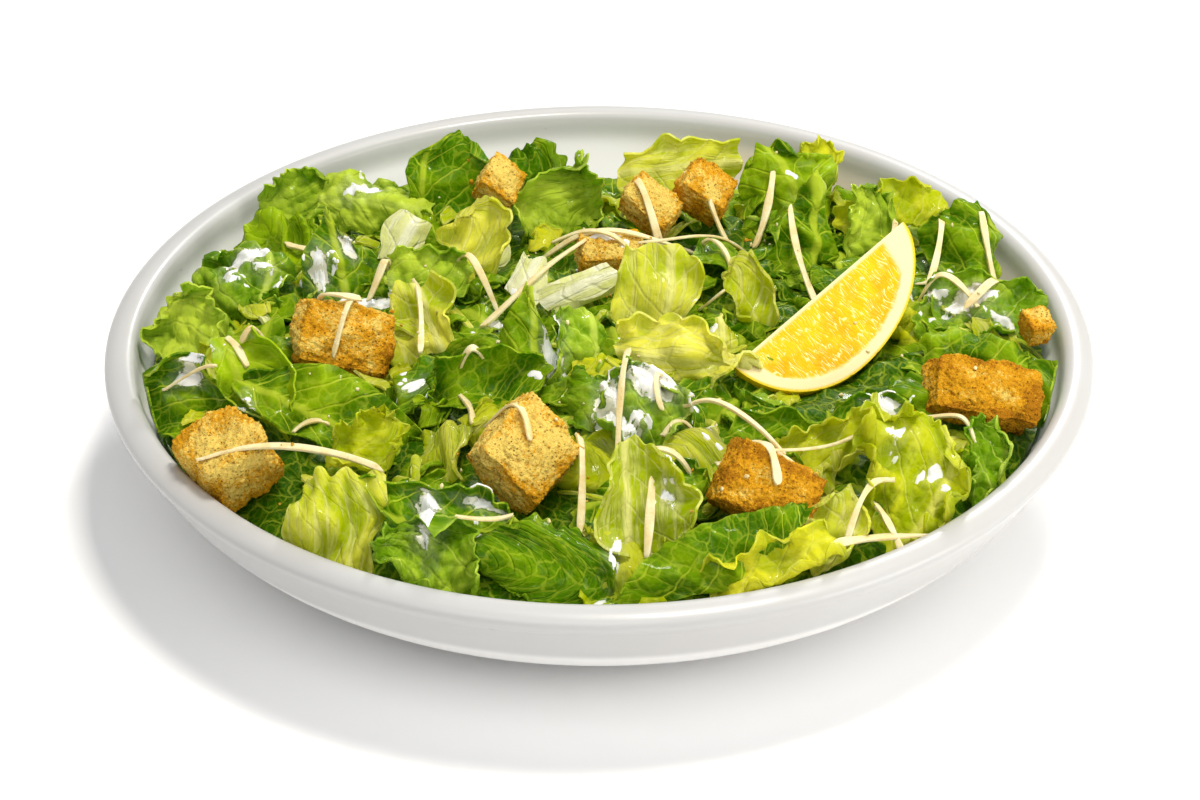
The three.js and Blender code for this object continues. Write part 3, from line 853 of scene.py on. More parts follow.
@dataclass(frozen=True)
class CreamFinish(Finish):
    """Something pale, moist and smooth, such as cheese or dressing."""

    pale: Rgb
    shade: Rgb
    roughness: float
    grain: float
    coat: float

    def _lay(self, paint: Paint) -> None:
        """Lays the colours, the gloss and the relief."""
        place = paint.place()
        patch = paint.noise(place, 4.0, 3.0)
        grain = paint.noise(place, 0.8, 3.0, 0.6)
        colour = paint.blend(patch.step(0.35, 0.7), linear(self.pale), linear(self.shade))
        paint.surface(
            Base_Color=colour,
            Roughness=self.roughness + patch * 0.1,
            Coat_Weight=self.coat,
            Coat_Roughness=0.1,
            Subsurface_Weight=0.25,
            Subsurface_Radius=(1.0, 0.85, 0.6),
            Subsurface_Scale=0.002,
            Normal=paint.bump(grain, self.grain),
        )


# -------------------------------- bowl


@dataclass(frozen=True)
class Bowl:
    """A wide stoneware bowl with a rolled rim and a plain foot."""

    rim_radius: float = 140.0
    height: float = 46.0
    wall: float = 4.6
    foot_radius: float = 80.0
    floor_top: float = 7.5
    rim_width: float = 9.0
    open_height: float = 200.0  # over the rim nothing holds food in, up to here
    steps: int = 192
    inner_wall: tuple[Pair, ...] = (
        (60, 7.7), (84, 9.8), (101, 14.3), (114, 21.5), (123.5, 29), (129.5, 37),
    )
    outer_wall: tuple[Pair, ...] = (
        (136.9, 38.5), (134.6, 33.5), (130.2, 26.5), (122.5, 18.5), (111, 11.2), (97, 6), (83, 3),
    )

    @property
    def mouth_radius(self) -> float:
        """The clear opening inside the rolled rim."""
        return self.rim_radius - self.rim_width

    def room(self, height: Array) -> Array:
        """How far out food may reach at each height.

        Args:
            height: Heights over the table.

        Returns:
            The wall's inner radius there.
        """
        radii = [0.0, *[radius for radius, _ in self.inner_wall], self.mouth_radius, self.mouth_radius]
        heights = [self.floor_top, *[z for _, z in self.inner_wall], self.height - 2, self.open_height]
        return np.interp(height, heights, radii)

    def _profile(self) -> Array:
        """The closed section from the axis over the inside, the rim and the outside to the foot."""
        rim = [
            (self.mouth_radius + 0.1, self.height - 3.0),
            (self.mouth_radius + 1.2, self.height - 0.9),
            (self.mouth_radius + 3.2, self.height),
            (self.rim_radius - 2.9, self.height - 0.3),
            (self.rim_radius - 0.5, self.height - 1.6),
            (self.rim_radius, self.height - 3.3),
            (self.rim_radius - 0.9, self.height - 5.2),
            (self.rim_radius - 2.3, self.height - 6.3),
        ]
        foot = [
            (self.foot_radius + 0.8, 0.9),
            (self.foot_radius - 0.6, 0.0),
            (self.foot_radius - 5.4, 0.0),
            (self.foot_radius - 7.2, 1.2),
            (self.foot_radius - 8.6, self.floor_top - self.wall),
            (40.0, self.floor_top - self.wall),
        ]
        floor = [(0, self.floor_top), (30, self.floor_top)]
        return self._rounded(np.array([*floor, *self.inner_wall, *rim, *self.outer_wall, *foot]))

    @staticmethod
    def _rounded(coarse: Array, cuts: int = 5) -> Array:
        """A smooth line through the points, with the ends kept on the axis."""
        padded = np.vstack([2 * coarse[0] - coarse[1], coarse, 2 * coarse[-1] - coarse[-2]])
        before, start, end, after = padded[:-3], padded[1:-2], padded[2:-1], padded[3:]
        rows = []
        for cut in range(cuts):
            t = cut / cuts
            straight = 2 * start + (end - before) * t
            square = (2 * before - 5 * start + 4 * end - after) * t**2
            cube = (3 * start - before - 3 * end + after) * t**3
            rows.append(0.5 * (straight + square + cube))
        line = np.stack(rows, 1).reshape(-1, 2)
        return np.vstack([line, coarse[-1:], [[0.0, coarse[-1, 1]]]])

    def build(self) -> Piece:
        """Spins the section round the axis.

        Returns:
            The bowl.
        """
        section = self._profile()
        piece, _, t = new_grid("bowl_glazed", 1, len(section) - 1)
        order = np.round(t * (len(section) - 1)).astype(int)
        points = np.column_stack([section[order, 0], np.zeros(len(order)), section[order, 1]])
        write_points(piece, points * MM)
        bpy.ops.object.mode_set(mode="EDIT")
        bpy.ops.mesh.select_all(action="SELECT")
        bpy.ops.mesh.remove_doubles(threshold=1e-6)
        bpy.ops.mesh.select_all(action="SELECT")
        bpy.ops.mesh.delete(type="ONLY_FACE")
        bpy.ops.mesh.select_all(action="SELECT")
        bpy.ops.mesh.spin(steps=self.steps, angle=2 * math.pi, center=(0, 0, 0), axis=(0, 0, 1))
        bpy.ops.object.mode_set(mode="OBJECT")
        tidy_shell(piece, 0.01, 40.0)
        return piece


# -------------------------------- romaine


class Outline(Enum):
    """The outline of a piece of leaf from its base to its end."""

    FAN = "fan"
    BAND = "band"
    TIP = "tip"
    OVAL = "oval"
    FLAP = "flap"
    BLADE = "blade"

    def half_width(self, t: Array) -> Array:
        """The width along a piece, as a share of its full width.

        Args:
            t: The way along, from 0 to 1.

        Returns:
            The share at each place.
        """
        if self is Outline.FAN:
            body = 0.45 + 0.55 * np.sin(math.pi * np.clip(t * 0.62, 0, 1))
            return body - 0.62 * np.clip((t - 0.72) / 0.28, 0, 1) ** 2
        if self is Outline.BAND:
            return 0.86 + 0.14 * np.sin(math.pi * t) - 0.1 * t
        if self is Outline.OVAL:
            return 0.3 + 0.7 * np.sin(math.pi * np.clip(0.08 + 0.84 * t, 0, 1)) ** 0.7
        if self is Outline.FLAP:
            return np.clip(1 - t, 0, 1) ** 0.75
        if self is Outline.BLADE:
            return np.sin(math.pi * np.clip(0.03 + 0.94 * t, 0, 1)) ** 0.75
        body = 0.5 + 0.5 * np.sin(math.pi * np.clip(t * 0.9 + 0.06, 0, 1))
        return body - 0.86 * np.clip((t - 0.35) / 0.65, 0, 1) ** 1.6

    @property
    def rounding(self) -> float:
        """How far the corners of the two ends are drawn in, as a share of the length."""
        return {"fan": 0.16, "band": 0.05, "tip": 0.06, "oval": 0.12, "flap": 0.05, "blade": 0.02}[self.value]


@dataclass(frozen=True)
class Habit:
    """How one sort of romaine grows: its ruffle, its blisters and its thickness."""

    ruffle: float
    waves: float
    thickness: float
    blister: float  # height of the blisters
    cell: float  # width of a blister
    rows: float  # how much the blisters run in rows between the side veins
    sway: float  # height of the slow waves
    frill: float  # height of the short waves along the edge
    teeth: float  # depth of the teeth along the edge
    crumple: float  # height of the creases


class Sort(Enum):
    """The sorts of romaine in the heap."""

    DARK = "dark"
    BLISTER = "blister"
    LIME = "lime"
    FRILL = "frill"
    RIB = "rib"


HABITS = {
    Sort.DARK: Habit(0.05, 1.6, 0.5, 0.5, 6.5, 0.5, 1.2, 0.2, 0.3, 1.8),
    Sort.BLISTER: Habit(0.09, 2.4, 0.55, 2.0, 4.4, 0.6, 1.0, 0.5, 0.5, 1.2),
    Sort.LIME: Habit(0.07, 1.8, 0.7, 0.35, 6.0, 0.2, 1.2, 0.08, 0.15, 2.2),
    Sort.FRILL: Habit(0.13, 3.0, 0.5, 0.9, 4.2, 0.3, 1.0, 1.3, 1.5, 1.4),
    Sort.RIB: Habit(0.02, 1.0, 2.6, 0.15, 9.0, 0.0, 0.4, 0.1, 0.1, 0.4),
}

FINISHES = {
    Sort.DARK: LeafFinish(
        "leaf_dark", deep=(46, 92, 2), middle=(102, 154, 4), light=(172, 202, 16), vein=(206, 222, 60),
        glow=(142, 202, 2), through=0.34, net_size=5.0, net_share=0.36, fibre=0.0,
    ),
    Sort.BLISTER: LeafFinish(
        "leaf_blistered", deep=(70, 120, 2), middle=(146, 188, 8), light=(214, 230, 70), vein=(216, 232, 96),
        glow=(172, 222, 6), through=0.34, net_size=4.4, net_share=0.2, fibre=0.15,
    ),
    Sort.LIME: LeafFinish(
        "leaf_lime", deep=(164, 188, 0), middle=(216, 226, 4), light=(252, 246, 92), vein=(252, 248, 160),
        glow=(240, 240, 4), through=0.4, net_size=5.2, net_share=0.16, fibre=0.6,
    ),
    Sort.FRILL: LeafFinish(
        "leaf_frilled", deep=(158, 182, 0), middle=(214, 220, 0), light=(246, 240, 50), vein=(246, 244, 120),
        glow=(226, 232, 0), through=0.4, net_size=3.8, net_share=0.16, fibre=0.25,
    ),
    Sort.RIB: LeafFinish(
        "leaf_rib", deep=(216, 222, 124), middle=(236, 236, 162), light=(248, 246, 208), vein=(250, 248, 222),
        glow=(236, 236, 150), through=0.25, net_size=6.0, net_share=0.1, fibre=0.6,
    ),
}


@dataclass(frozen=True)
class Leaf:
    """One piece of leaf: its sort, where it lies, how it is turned and how it bends.

    size is its length and width. pose is how far the upper side looks up, 90 being flat, which
    way it leans, 0 to the diner and positive to the right, and which way its length points,
    clockwise from straight away. bow and cup are degrees of bend along and across, positive
    where the ends go down. fold is a crease along the middle, curl a rise of the side edges,
    bend a crescent and twist a turn of the far end in degrees. rib is where the midrib runs, in
    half widths from the middle. tone runs from dark to light, pleats are lengthwise ridges, and
    crinkle is the share of the sort's creases and slow waves that the piece has.
    """

    sort: Sort
    outline: Outline
    place: Triple
    size: Pair
    pose: Triple
    bow: float = 30.0
    cup: float = 30.0
    fold: float = 0.0
    curl: float = 0.0
    bend: float = 0.0
    twist: float = 0.0
    rib: float = 2.5
    tone: float = 0.0
    pleats: float = 0.0
    crinkle: float = 1.0

    def frame(self) -> tuple[Array, Array, Array]:
        """The three directions of the piece.

        Returns:
            Its length, its width and its upper side.
        """
        look, lean, spin = (math.radians(value) for value in self.pose)
        up = np.array([math.sin(lean) * math.cos(look), -math.cos(lean) * math.cos(look), math.sin(look)])
        tilt = math.radians(POSE_TILT)
        upward = np.array([0, math.sin(tilt), math.cos(tilt)])
        away = upward - up * (upward @ up)
        away /= np.linalg.norm(away)
        right = np.cross(away, up)
        along = away * math.cos(spin) + right * math.sin(spin)
        return along, np.cross(along, up), up

    def half_width(self, t: Array) -> Array:
        """Half the width along the piece, in millimetres."""
        return self.size[1] / 2 * np.maximum(0.04, self.outline.half_width(t))

    def points(self, s: Array, t: Array, widen: Any = 0.0, lengthen: Any = 0.0) -> Array:
        """Places on the piece's middle surface.

        Args:
            s: The way across, from -1 to 1.
            t: The way along, from 0 to 1.
            widen: What is added to the half width at each place.
            lengthen: What is added to the way along at each place.

        Returns:
            One row for each place, in millimetres.
        """
        habit = HABITS[self.sort]
        length, width = self.size
        along, across, up = self.frame()
        slant = 0.2 * math.sin(1.7 * self.place[0] + 0.9 * self.place[1])
        uneven = 0.16 * s * np.sin(4.4 * t + 0.31 * self.place[0])
        half = self.half_width(t) * (1 + uneven) + widen
        ends = 2 * t - 1
        run = (t - 0.5) * length - self.outline.rounding * length * s**2 * ends
        run = run + slant * width / 2 * s + lengthen
        run, drop = self._arc(run, length, self.bow)
        side, fall = self._arc(s * half, width, self.cup)
        crease = self.fold * half * (np.sqrt(s**2 + 0.02) - 0.14)
        lip = self.curl * width / 2 * s**4
        phase = self.place[0] * 0.7 + self.place[1] * 0.4 + np.where(s < 0, 2.1, 0.0)
        wave = width * habit.ruffle * np.abs(s) ** 2.2
        wave = wave * np.sin(2 * math.pi * habit.waves * t + phase)
        side = side * (1 - 0.3 * abs(self.curl) * s**4) + self.bend * width * ends**2
        rise = fall - crease + lip + wave
        turn = math.radians(self.twist) * (t - 0.5)
        out = side * np.cos(turn) - rise * np.sin(turn)
        rise = side * np.sin(turn) + rise * np.cos(turn) + drop
        return np.array(self.place) + np.outer(run, along) + np.outer(out, across) + np.outer(rise, up)

    @staticmethod
    def _arc(distance: Array, length: float, degrees: float) -> tuple[Array, Array]:
        """How far an arc that bends by the given degrees over its length reaches along and down."""
        if abs(degrees) < 1:
            return distance, np.zeros_like(distance)
        radius = length / math.radians(degrees)
        return radius * np.sin(distance / radius), radius * (np.cos(distance / radius) - 1)


D, B, L, F, R = Sort.DARK, Sort.BLISTER, Sort.LIME, Sort.FRILL, Sort.RIB
FAN, BAND, TIP, OVAL, FLAP, BLADE = Outline

# The pieces that show most, from the back left to the front right.
ROMAINE = [
    Leaf(B, FAN, (-92, 68, 49), (28, 24), (45, -15, 80), 50, 40, curl=0.5, rib=2.0, tone=0.5),
    Leaf(B, BAND, (-67, 60, 53), (36, 22), (42, 0, 98), 40, 90, rib=0.0, tone=0.7),
    Leaf(D, FAN, (-45, 64, 57), (33, 33), (28, -8, 12), 25, 20, curl=0.25, rib=-0.6, crinkle=0.5),
    Leaf(D, OVAL, (-20, 80, 52), (22, 20), (40, 10, 50), 30, 20, rib=3.0, tone=-0.5),
    Leaf(
        B, TIP, (-10, 57, 56), (30, 33), (36, 14, 18),
        20, 40, fold=0.25, curl=0.5, rib=-1.4, tone=0.6, crinkle=0.6,
    ),
    Leaf(L, FAN, (-34, 31, 58), (24, 24), (36, 0, -4), 30, 24, curl=0.5, rib=2.0, tone=0.7, crinkle=0.6),
    Leaf(L, BAND, (24, 86, 51), (38, 18), (42, 0, 84), 30, 20, curl=0.4, rib=0.0, tone=0.3),
    Leaf(D, FAN, (57, 66, 54), (32, 31), (36, 6, -28), 30, 40, fold=0.2, rib=0.1, tone=0.6),
    Leaf(F, FAN, (64, 86, 51), (24, 18), (40, 10, 66), 50, 40, curl=0.5, rib=2.0, tone=0.6),
    Leaf(D, FLAP, (61, 38, 57), (33, 26), (34, 12, 8), 30, 70, fold=0.4, rib=0.3, tone=0.1),
    Leaf(B, FAN, (80, 50, 51), (25, 24), (42, 8, 30), 30, 50, curl=0.4, rib=1.5, tone=0.6),
    Leaf(F, BAND, (88, 58, 51), (34, 18), (42, 12, 70), 40, 50, curl=0.5, rib=2.0, tone=0.3),
    Leaf(D, FAN, (109, 38, 50), (31, 28), (42, 12, 10), 50, 90, fold=0.3, rib=1.0, tone=0.1),
    Leaf(B, BAND, (112, 8, 48), (38, 22), (52, 10, 92), 40, 30, curl=0.4, rib=1.2, tone=-0.3),
    Leaf(D, BAND, (107, -18, 47), (34, 18), (46, 0, 96), 30, 70, curl=-0.3, rib=1.5, tone=0.2),
    Leaf(D, OVAL, (122, -35, 46), (20, 16), (46, -50, 10), 40, 30, curl=0.4, rib=2.0),
    Leaf(B, FAN, (-105, 17, 51), (31, 33), (50, -20, -10), 100, 90, rib=0.6, tone=-0.5),
    Leaf(D, OVAL, (-94, 38, 48), (30, 26), (46, -10, 60), 30, 20, rib=3.0, tone=0.6),
    Leaf(D, FLAP, (-75, 22, 54), (33, 31), (38, 6, -12), 20, 20, fold=0.25, rib=0.0, tone=-0.4, crinkle=0.5),
    Leaf(B, FAN, (-115, -3, 47), (30, 28), (50, -24, -40), 40, 30, curl=0.4, rib=1.5, tone=1.3),
    Leaf(D, FAN, (-115, -43, 48), (38, 35), (48, -16, -66), 30, 20, curl=0.3, rib=0.8, tone=-0.3),
    Leaf(
        D, TIP, (-92, -45, 53), (41, 22), (50, -10, 150),
        30, -30, fold=-0.2, curl=0.3, rib=0.4, tone=0.9, crinkle=0.6,
    ),
    Leaf(D, BAND, (-85, -28, 52), (30, 18), (52, 0, 96), 30, 20, curl=-0.4, rib=2.0, tone=-0.4),
    Leaf(
        D, BLADE, (-72, -55, 51), (58, 25), (56, 6, 116),
        24, 50, fold=-0.35, curl=0.1, rib=0.1, tone=0.3, crinkle=0.7,
    ),
    Leaf(R, BAND, (-57, 34, 55), (17, 13), (44, 10, 30), 10, 40, rib=0.0),
    Leaf(R, BAND, (-20, 9, 57), (14, 11), (52, 0, 24), 10, 30, rib=0.0, tone=0.5),
    Leaf(F, FAN, (-62, -72, 54), (24, 20), (50, 0, 66), 40, 30, curl=0.6, rib=2.0, tone=0.2),
    Leaf(L, BAND, (-51, -8, 54), (23, 22), (52, 0, -20), 20, 40, curl=0.4, rib=0.3, tone=0.5, pleats=1.5),
    Leaf(B, BAND, (-49, 16, 55), (24, 17), (48, 0, 84), 30, 40, curl=0.5, rib=1.5, tone=0.5),
    Leaf(D, FLAP, (-20, -33, 60), (33, 28), (32, 4, 6), 26, 50, fold=0.5, rib=0.3, tone=0.6, crinkle=0.5),
    Leaf(D, BAND, (-30, -43, 54), (32, 20), (50, -8, 78), fold=-0.3, curl=0.5, rib=2.0, tone=-0.2),
    Leaf(B, BAND, (-6, -31, 57), (26, 18), (40, 40, 6), 20, 60, curl=0.4, rib=0.6, tone=0.3),
    Leaf(
        L, BAND, (16, 1, 60), (23, 27), (36, 4, 6),
        30, 10, fold=0.2, curl=0.3, rib=0.3, tone=0.5, crinkle=0.5,
    ),
    Leaf(R, BAND, (-5, 6, 56), (24, 10), (46, 0, 66), 30, 70, curl=0.3, rib=0.0, tone=0.2, twist=20),
    Leaf(L, TIP, (24, -30, 56), (40, 25), (48, 0, 98), fold=0.5, curl=0.4, rib=0.2, tone=1.3, pleats=1.5),
    Leaf(B, FAN, (12, -60, 56), (30, 30), (48, 0, 2), 40, 30, curl=0.4, rib=1.0, tone=-0.3),
    Leaf(L, FAN, (43, 6, 55), (26, 16), (42, -6, -10), curl=0.5, rib=2.0, tone=-0.2, twist=30),
    Leaf(L, TIP, (34, -18, 54), (14, 10), (42, 0, 0), 20, 40, fold=0.4, rib=0.0, tone=0.4),
    Leaf(L, BAND, (-69, -104, 50), (28, 28), (42, -4, 4), 30, 40, rib=2.5, tone=0.3, pleats=2.5),
    Leaf(D, BLADE, (-42, -101, 53), (43, 18), (54, 0, 102), 40, 60, curl=0.5, bend=-0.1, rib=0.8, tone=-0.2),
    Leaf(B, FAN, (-43, -116, 46), (28, 28), (44, 0, -30), 30, 20, curl=0.4, rib=1.5, tone=0.2),
    Leaf(D, OVAL, (-12, -118, 46), (24, 39), (38, 0, 2), 30, 20, rib=2.5, tone=0.1, crinkle=0.35),
    Leaf(
        L, FAN, (11, -101, 53), (38, 31), (44, 0, 172),
        30, 50, fold=-0.25, curl=0.4, rib=0.3, tone=-0.8, crinkle=0.6,
    ),
    Leaf(D, FAN, (20, -92, 56), (22, 17), (48, 10, 112), 40, 60, fold=0.4, curl=0.4, rib=2.0, tone=-0.5),
    Leaf(
        D, BLADE, (30, -117, 49), (56, 18), (44, 0, 62),
        30, 60, bend=-0.15, twist=40, rib=2.0, tone=0.2, crinkle=0.6,
    ),
    Leaf(F, BAND, (45, -118, 47), (38, 17), (50, 0, 68), curl=0.6, rib=2.0, tone=0.8),
    Leaf(L, FAN, (60, -105, 49), (24, 20), (48, 0, 20), curl=0.4, rib=0.5, tone=0.4),
    Leaf(F, FAN, (82, -86, 51), (39, 42), (50, 4, 24), curl=0.4, rib=0.4, tone=-0.1),
    Leaf(F, BAND, (62, -71, 53), (34, 18), (50, 0, 70), 30, 70, curl=0.5, rib=1.0, tone=0.2),
    Leaf(B, FAN, (104, -72, 47), (28, 18), (46, 20, 14), 40, 50, curl=0.5, rib=1.0, tone=-0.1),
    Leaf(D, BAND, (74, -58, 52), (25, 17), (50, 0, 80), 50, 60, curl=0.4, rib=0.8, tone=-0.2),
    Leaf(D, OVAL, (85, -49, 51), (19, 16), (42, 0, -10), 30, 40, rib=3.0, tone=-0.2),
    Leaf(D, BAND, (49, -67, 52), (30, 16), (50, 0, 96), 30, 60, fold=-0.3, curl=0.4, rib=2.0, tone=0.1),
]


FILM_REACH = 2.5  # how far past a pool's edge it films the leaf over

# x, y of a pool of dressing, its length and width, which way it runs in degrees from +X, and
# how strongly the leaf round it is filmed over
SPLASHES = [
    (-102, 25, 13, 3, 12, 0.8), (-106, 20, 6, 2.5, 50, 0.7), (-97, 21, 6, 2, -10, 0.6),
    (-81, 22, 3, 6, 10, 0.9), (-72, 27, 4, 4, 0, 0.9), (-76, 13, 8, 4, 20, 0.8),
    (-65, 12, 13, 4, 5, 0.9), (-60, 12, 5, 3, 120, 0.6), (-111, -37, 13, 5, 5, 0.8),
    (-88, -33, 4, 4, 60, 0.6), (-44, -92, 7, 3, -10, 0.7), (-29, -97, 17, 5, -12, 0.9),
    (-44, -105, 4, 17, 2, 0.9), (2, -56, 5, 18, 4, 1), (15, -53, 13, 8, -25, 1),
    (7, -50, 12, 4, 15, 0.8), (8, -63, 8, 5, 20, 0.7), (27, -64, 8, 4, -30, 0.8),
    (106, 9, 14, 4, 14, 0.8), (96, 12, 8, 3, 10, 0.7), (115, 5, 7, 3, -20, 0.6),
    (76, -52, 10, 5, -20, 0.9), (-57, 42, 6, 3, 10, 0.6), (-71, 64, 12, 3, 0, 0.7),
    (4, -113, 12, 3, 80, 0.6), (-50, -45, 8, 4, 25, 0.6), (-13, -30, 4, 13, 5, 0.9),
    (-4, -12, 4, 3, 0, 0.6), (88, -84, 6, 3, 30, 0.4), (78, -76, 6, 3, 20, 0.4),
    (18, -99, 5, 3, 45, 0.7), (57, 60, 9, 2, 70, 0.5), (-96, -52, 4, 3, 20, 0.6),
    (2, 27, 10, 3, 8, 0.6), (-28, -2, 8, 5, 10, 0.5), (26, -8, 9, 3, -20, 0.5),
    (10, -6, 9, 4, 0, 0.6), (98, 34, 8, 2, 70, 0.5),
]


@dataclass(frozen=True)
class Heap:
    """The lettuce: a packed core, the pieces of leaf over it and the small bits between them."""

    bowl: Bowl
    core_radius: float = 127.0
    core_foot_z: float = 32.0
    core_edge_z: float = 41.0
    core_top_z: float = 50.5
    core_back_from: float = 60.0  # the core sinks from here to the back
    core_back_drop: float = 16.0
    core_back_squeeze: float = 0.93  # the back half reaches only this share as far
    core_under: tuple[Pair, ...] = (  # how far out and how high the core's underside runs
        (0, 8.4), (60, 8.6), (84, 10.9), (101, 15.6), (114, 23.2), (124, 31.5), (127.5, 36.0),
    )
    core_cuts: tuple[int, int] = (160, 96)  # faces round the core and from pole to pole
    core_sunk: float = 4.5  # how far its mesh lies under its stated height, before its folds
    lump: float = 1.8
    filler_places: int = 92
    filler_reach: float = 118.0
    filler_spacing: float = 17.0
    filler_back: float = 84.0  # no piece lies farther back than this
    filler_seed: int = 7
    fine: float = 0.8  # face size on the pieces that show most
    coarse: float = 1.25  # face size on the others
    bed_places: int = 150
    bed_reach: float = 117.0
    bed_clear: float = 17.0  # a leaf of the bed keeps this far from each topping's middle
    bed_drop: float = 3.0  # the bed lies this far under the core's stated height
    bed_cell: float = 1.5  # face size
    bed_seed: int = 23
    bed_number: int = 1000  # its leaves are numbered from here
    bit_places: int = 600
    bit_depth: float = 1.3  # how far a dip lies under what is round it, to hold a bit
    bit_ring: float = 9.0  # how far round a place that is measured
    bit_shares: tuple[float, ...] = (0.22, 0.14, 0.44, 0.06, 0.14)  # of lime, frill, dark, rib, blister
    bit_thickest: float = 1.2
    bit_cell: float = 1.0  # face size
    bit_seed: int = 5
    bit_number: int = 300
    smooth_angle: float = 75.0

    def core_height(self, x: Any, y: Any) -> Any:
        """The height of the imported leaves.

        Args:
            x: Place to the right.
            y: Place away from the diner.

        Returns:
            The height over the table.
        """
        share = np.hypot(x, y) / self.core_radius
        back = np.clip((y - self.core_back_from) / (self.core_radius - self.core_back_from), 0, 1) ** 1.5
        lump = np.sin(x / 9 + 1.3) * np.cos(y / 8 - 0.4) + 0.5 * np.sin((x - y) / 5)
        dome = self.core_top_z - (self.core_top_z - self.core_edge_z) * share**2.6
        return np.maximum(dome - self.core_back_drop * back + self.lump * lump, self.core_foot_z + 1.5)

    def fillers(self, leaves: Sequence[Leaf], toppings: Sequence[Spot]) -> list[Leaf]:
        """Pieces that cover what the main leaves leave bare.

        Args:
            leaves: The main leaves.
            toppings: The middles of croutons and lemon.

        Returns:
            The pieces between them, each leaning outwards.
        """
        between = seeded(self.filler_seed)
        taken = [leaf.place[:2] for leaf in leaves] + [tuple(spot[:2]) for spot in toppings]
        fillers = []
        for i in range(self.filler_places):
            x, y = on_spiral(i, self.filler_places, self.filler_reach)
            sort = list(Sort)[math.floor(between(0, 4))]
            outline = (FAN, BAND, TIP)[math.floor(between(0, 3))]
            size = (between(27, 37), between(20, 30))
            lean = math.degrees(math.atan2(x, -y)) + between(-40, 40)
            pose = (between(46, 72), lean, between(-90, 90), between(20, 60), between(-20, 70))
            near = any(math.hypot(a - x, b - y) < self.filler_spacing for a, b in taken)
            if near or y > self.filler_back:
                continue
            taken.append((x, y))
            place = (x, y, float(self.core_height(x, y)) + 1)
            fillers.append(Leaf(sort, outline, place, size, pose[:3], *pose[3:]))
        return fillers

    def core(self) -> Piece:
        """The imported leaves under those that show.

        Returns:
            One closed mesh with folds as large as leaves.
        """
        deselect()
        segments, rings = self.core_cuts
        bpy.ops.mesh.primitive_uv_sphere_add(segments=segments, ring_count=rings, radius=1)
        piece = bpy.context.object
        piece.name = "lettuce_core"
        ball = read_points(piece)
        share = np.hypot(ball[:, 0], ball[:, 1])
        upper = ball[:, 2] >= 0
        x = ball[:, 0] * self.core_radius
        y = ball[:, 1] * self.core_radius
        squeeze = np.where(y > 0, self.core_back_squeeze, 1.0)
        plan = np.column_stack([x, y])
        fold = np.abs(Ripple(17.0, 41).at(plan)) * 2.4 + Ripple(6.0, 42).at(plan) * 0.6
        top = self.core_height(x, y) - self.core_sunk + fold - 2.0 * smooth(0.94, 1.0, share)
        reach = np.hypot(x, y * squeeze)
        under = np.interp(reach, *zip(*self.core_under))
        z = np.where(upper, np.maximum(top, under + 0.5), under)
        write_points(piece, np.column_stack([x, y * squeeze, z]) * MM)
        write_chart(piece, plan)
        # The core takes tone -1, the deepest green: painted shade for the gaps between the leaves.
        for name, value in (("tone", -1.0), ("coat", 0.0), ("rim", 0.0), ("high", 0.5)):
            write_value(piece, name, np.full(len(x), value))
        shade_smooth(piece, 80.0)
        return piece

    def bed(self, toppings: Sequence[Spot]) -> Piece:
        """Flat leaves all over the core, which show from behind and from above.

        Args:
            toppings: The middles of croutons and lemon, which no leaf of the bed lies on.

        Returns:
            The joined leaves.
        """
        between = seeded(self.bed_seed)
        sheets = []
        for i in range(self.bed_places):
            x, y = on_spiral(i, self.bed_places, self.bed_reach)
            y *= self.core_back_squeeze if y > 0 else 1.0
            if any(math.hypot(spot[0] - x, spot[1] - y) < self.bed_clear for spot in toppings):
                continue
            place = (x, y, float(self.core_height(x, y)) - self.bed_drop)
            size = (between(22, 31), between(16, 23))
            pose = (between(72, 86), math.degrees(math.atan2(x, -y)), between(0, 360))
            outline = (FAN, OVAL, BAND)[i % 3]
            leaf = Leaf(D, outline, place, size, pose, curl=0.2, rib=0.5, tone=between(-0.6, 0))
            sheets.append(self.sheet(leaf, self.seed_of(self.bed_number + i), self.bed_cell))
            thicken(sheets[-1], HABITS[D].thickness)
        piece = join("lettuce_bed", sheets)
        shade_smooth(piece, self.smooth_angle)
        return piece

    def surface(self, leaf: Leaf, seed: int, s: Array, t: Array) -> dict[str, Array]:
        """Where a piece of leaf runs, with its blisters, veins, frills and teeth.

        Args:
            leaf: What the piece is like.
            seed: A number of its own, for all that is uneven about it.
            s: The way across, from -1 to 1.
            t: The way along, from 0 to 1.

        Returns:
            The points, the normals, the chart and the relief.
        """
        habit = HABITS[leaf.sort]
        length, width = leaf.size
        rng = np.random.default_rng(seed)
        ragged = Ripple(8.0, seed + 5).at(np.column_stack([s * width / 2, t * length]))
        lengthen = ragged * 1.1 * np.abs(2 * t - 1) ** 6
        widen = self._teeth(leaf, seed, s, t)
        chart = np.column_stack([rng.uniform(0, 120) + t * length, (s - leaf.rib) * leaf.half_width(t)])
        step = 1e-3
        over_s = leaf.points(s + step, t, widen, lengthen) - leaf.points(s - step, t, widen, lengthen)
        over_t = leaf.points(s, t + step, widen, lengthen) - leaf.points(s, t - step, widen, lengthen)
        normal = unit(np.cross(over_s, over_t))
        relief = self._relief(leaf, habit, seed, chart, s) * min(1.0, width / 18)
        points = leaf.points(s, t, widen, lengthen) + normal * relief[:, None]
        return {"points": self._kept_in(points), "normal": normal, "chart": chart, "relief": relief}

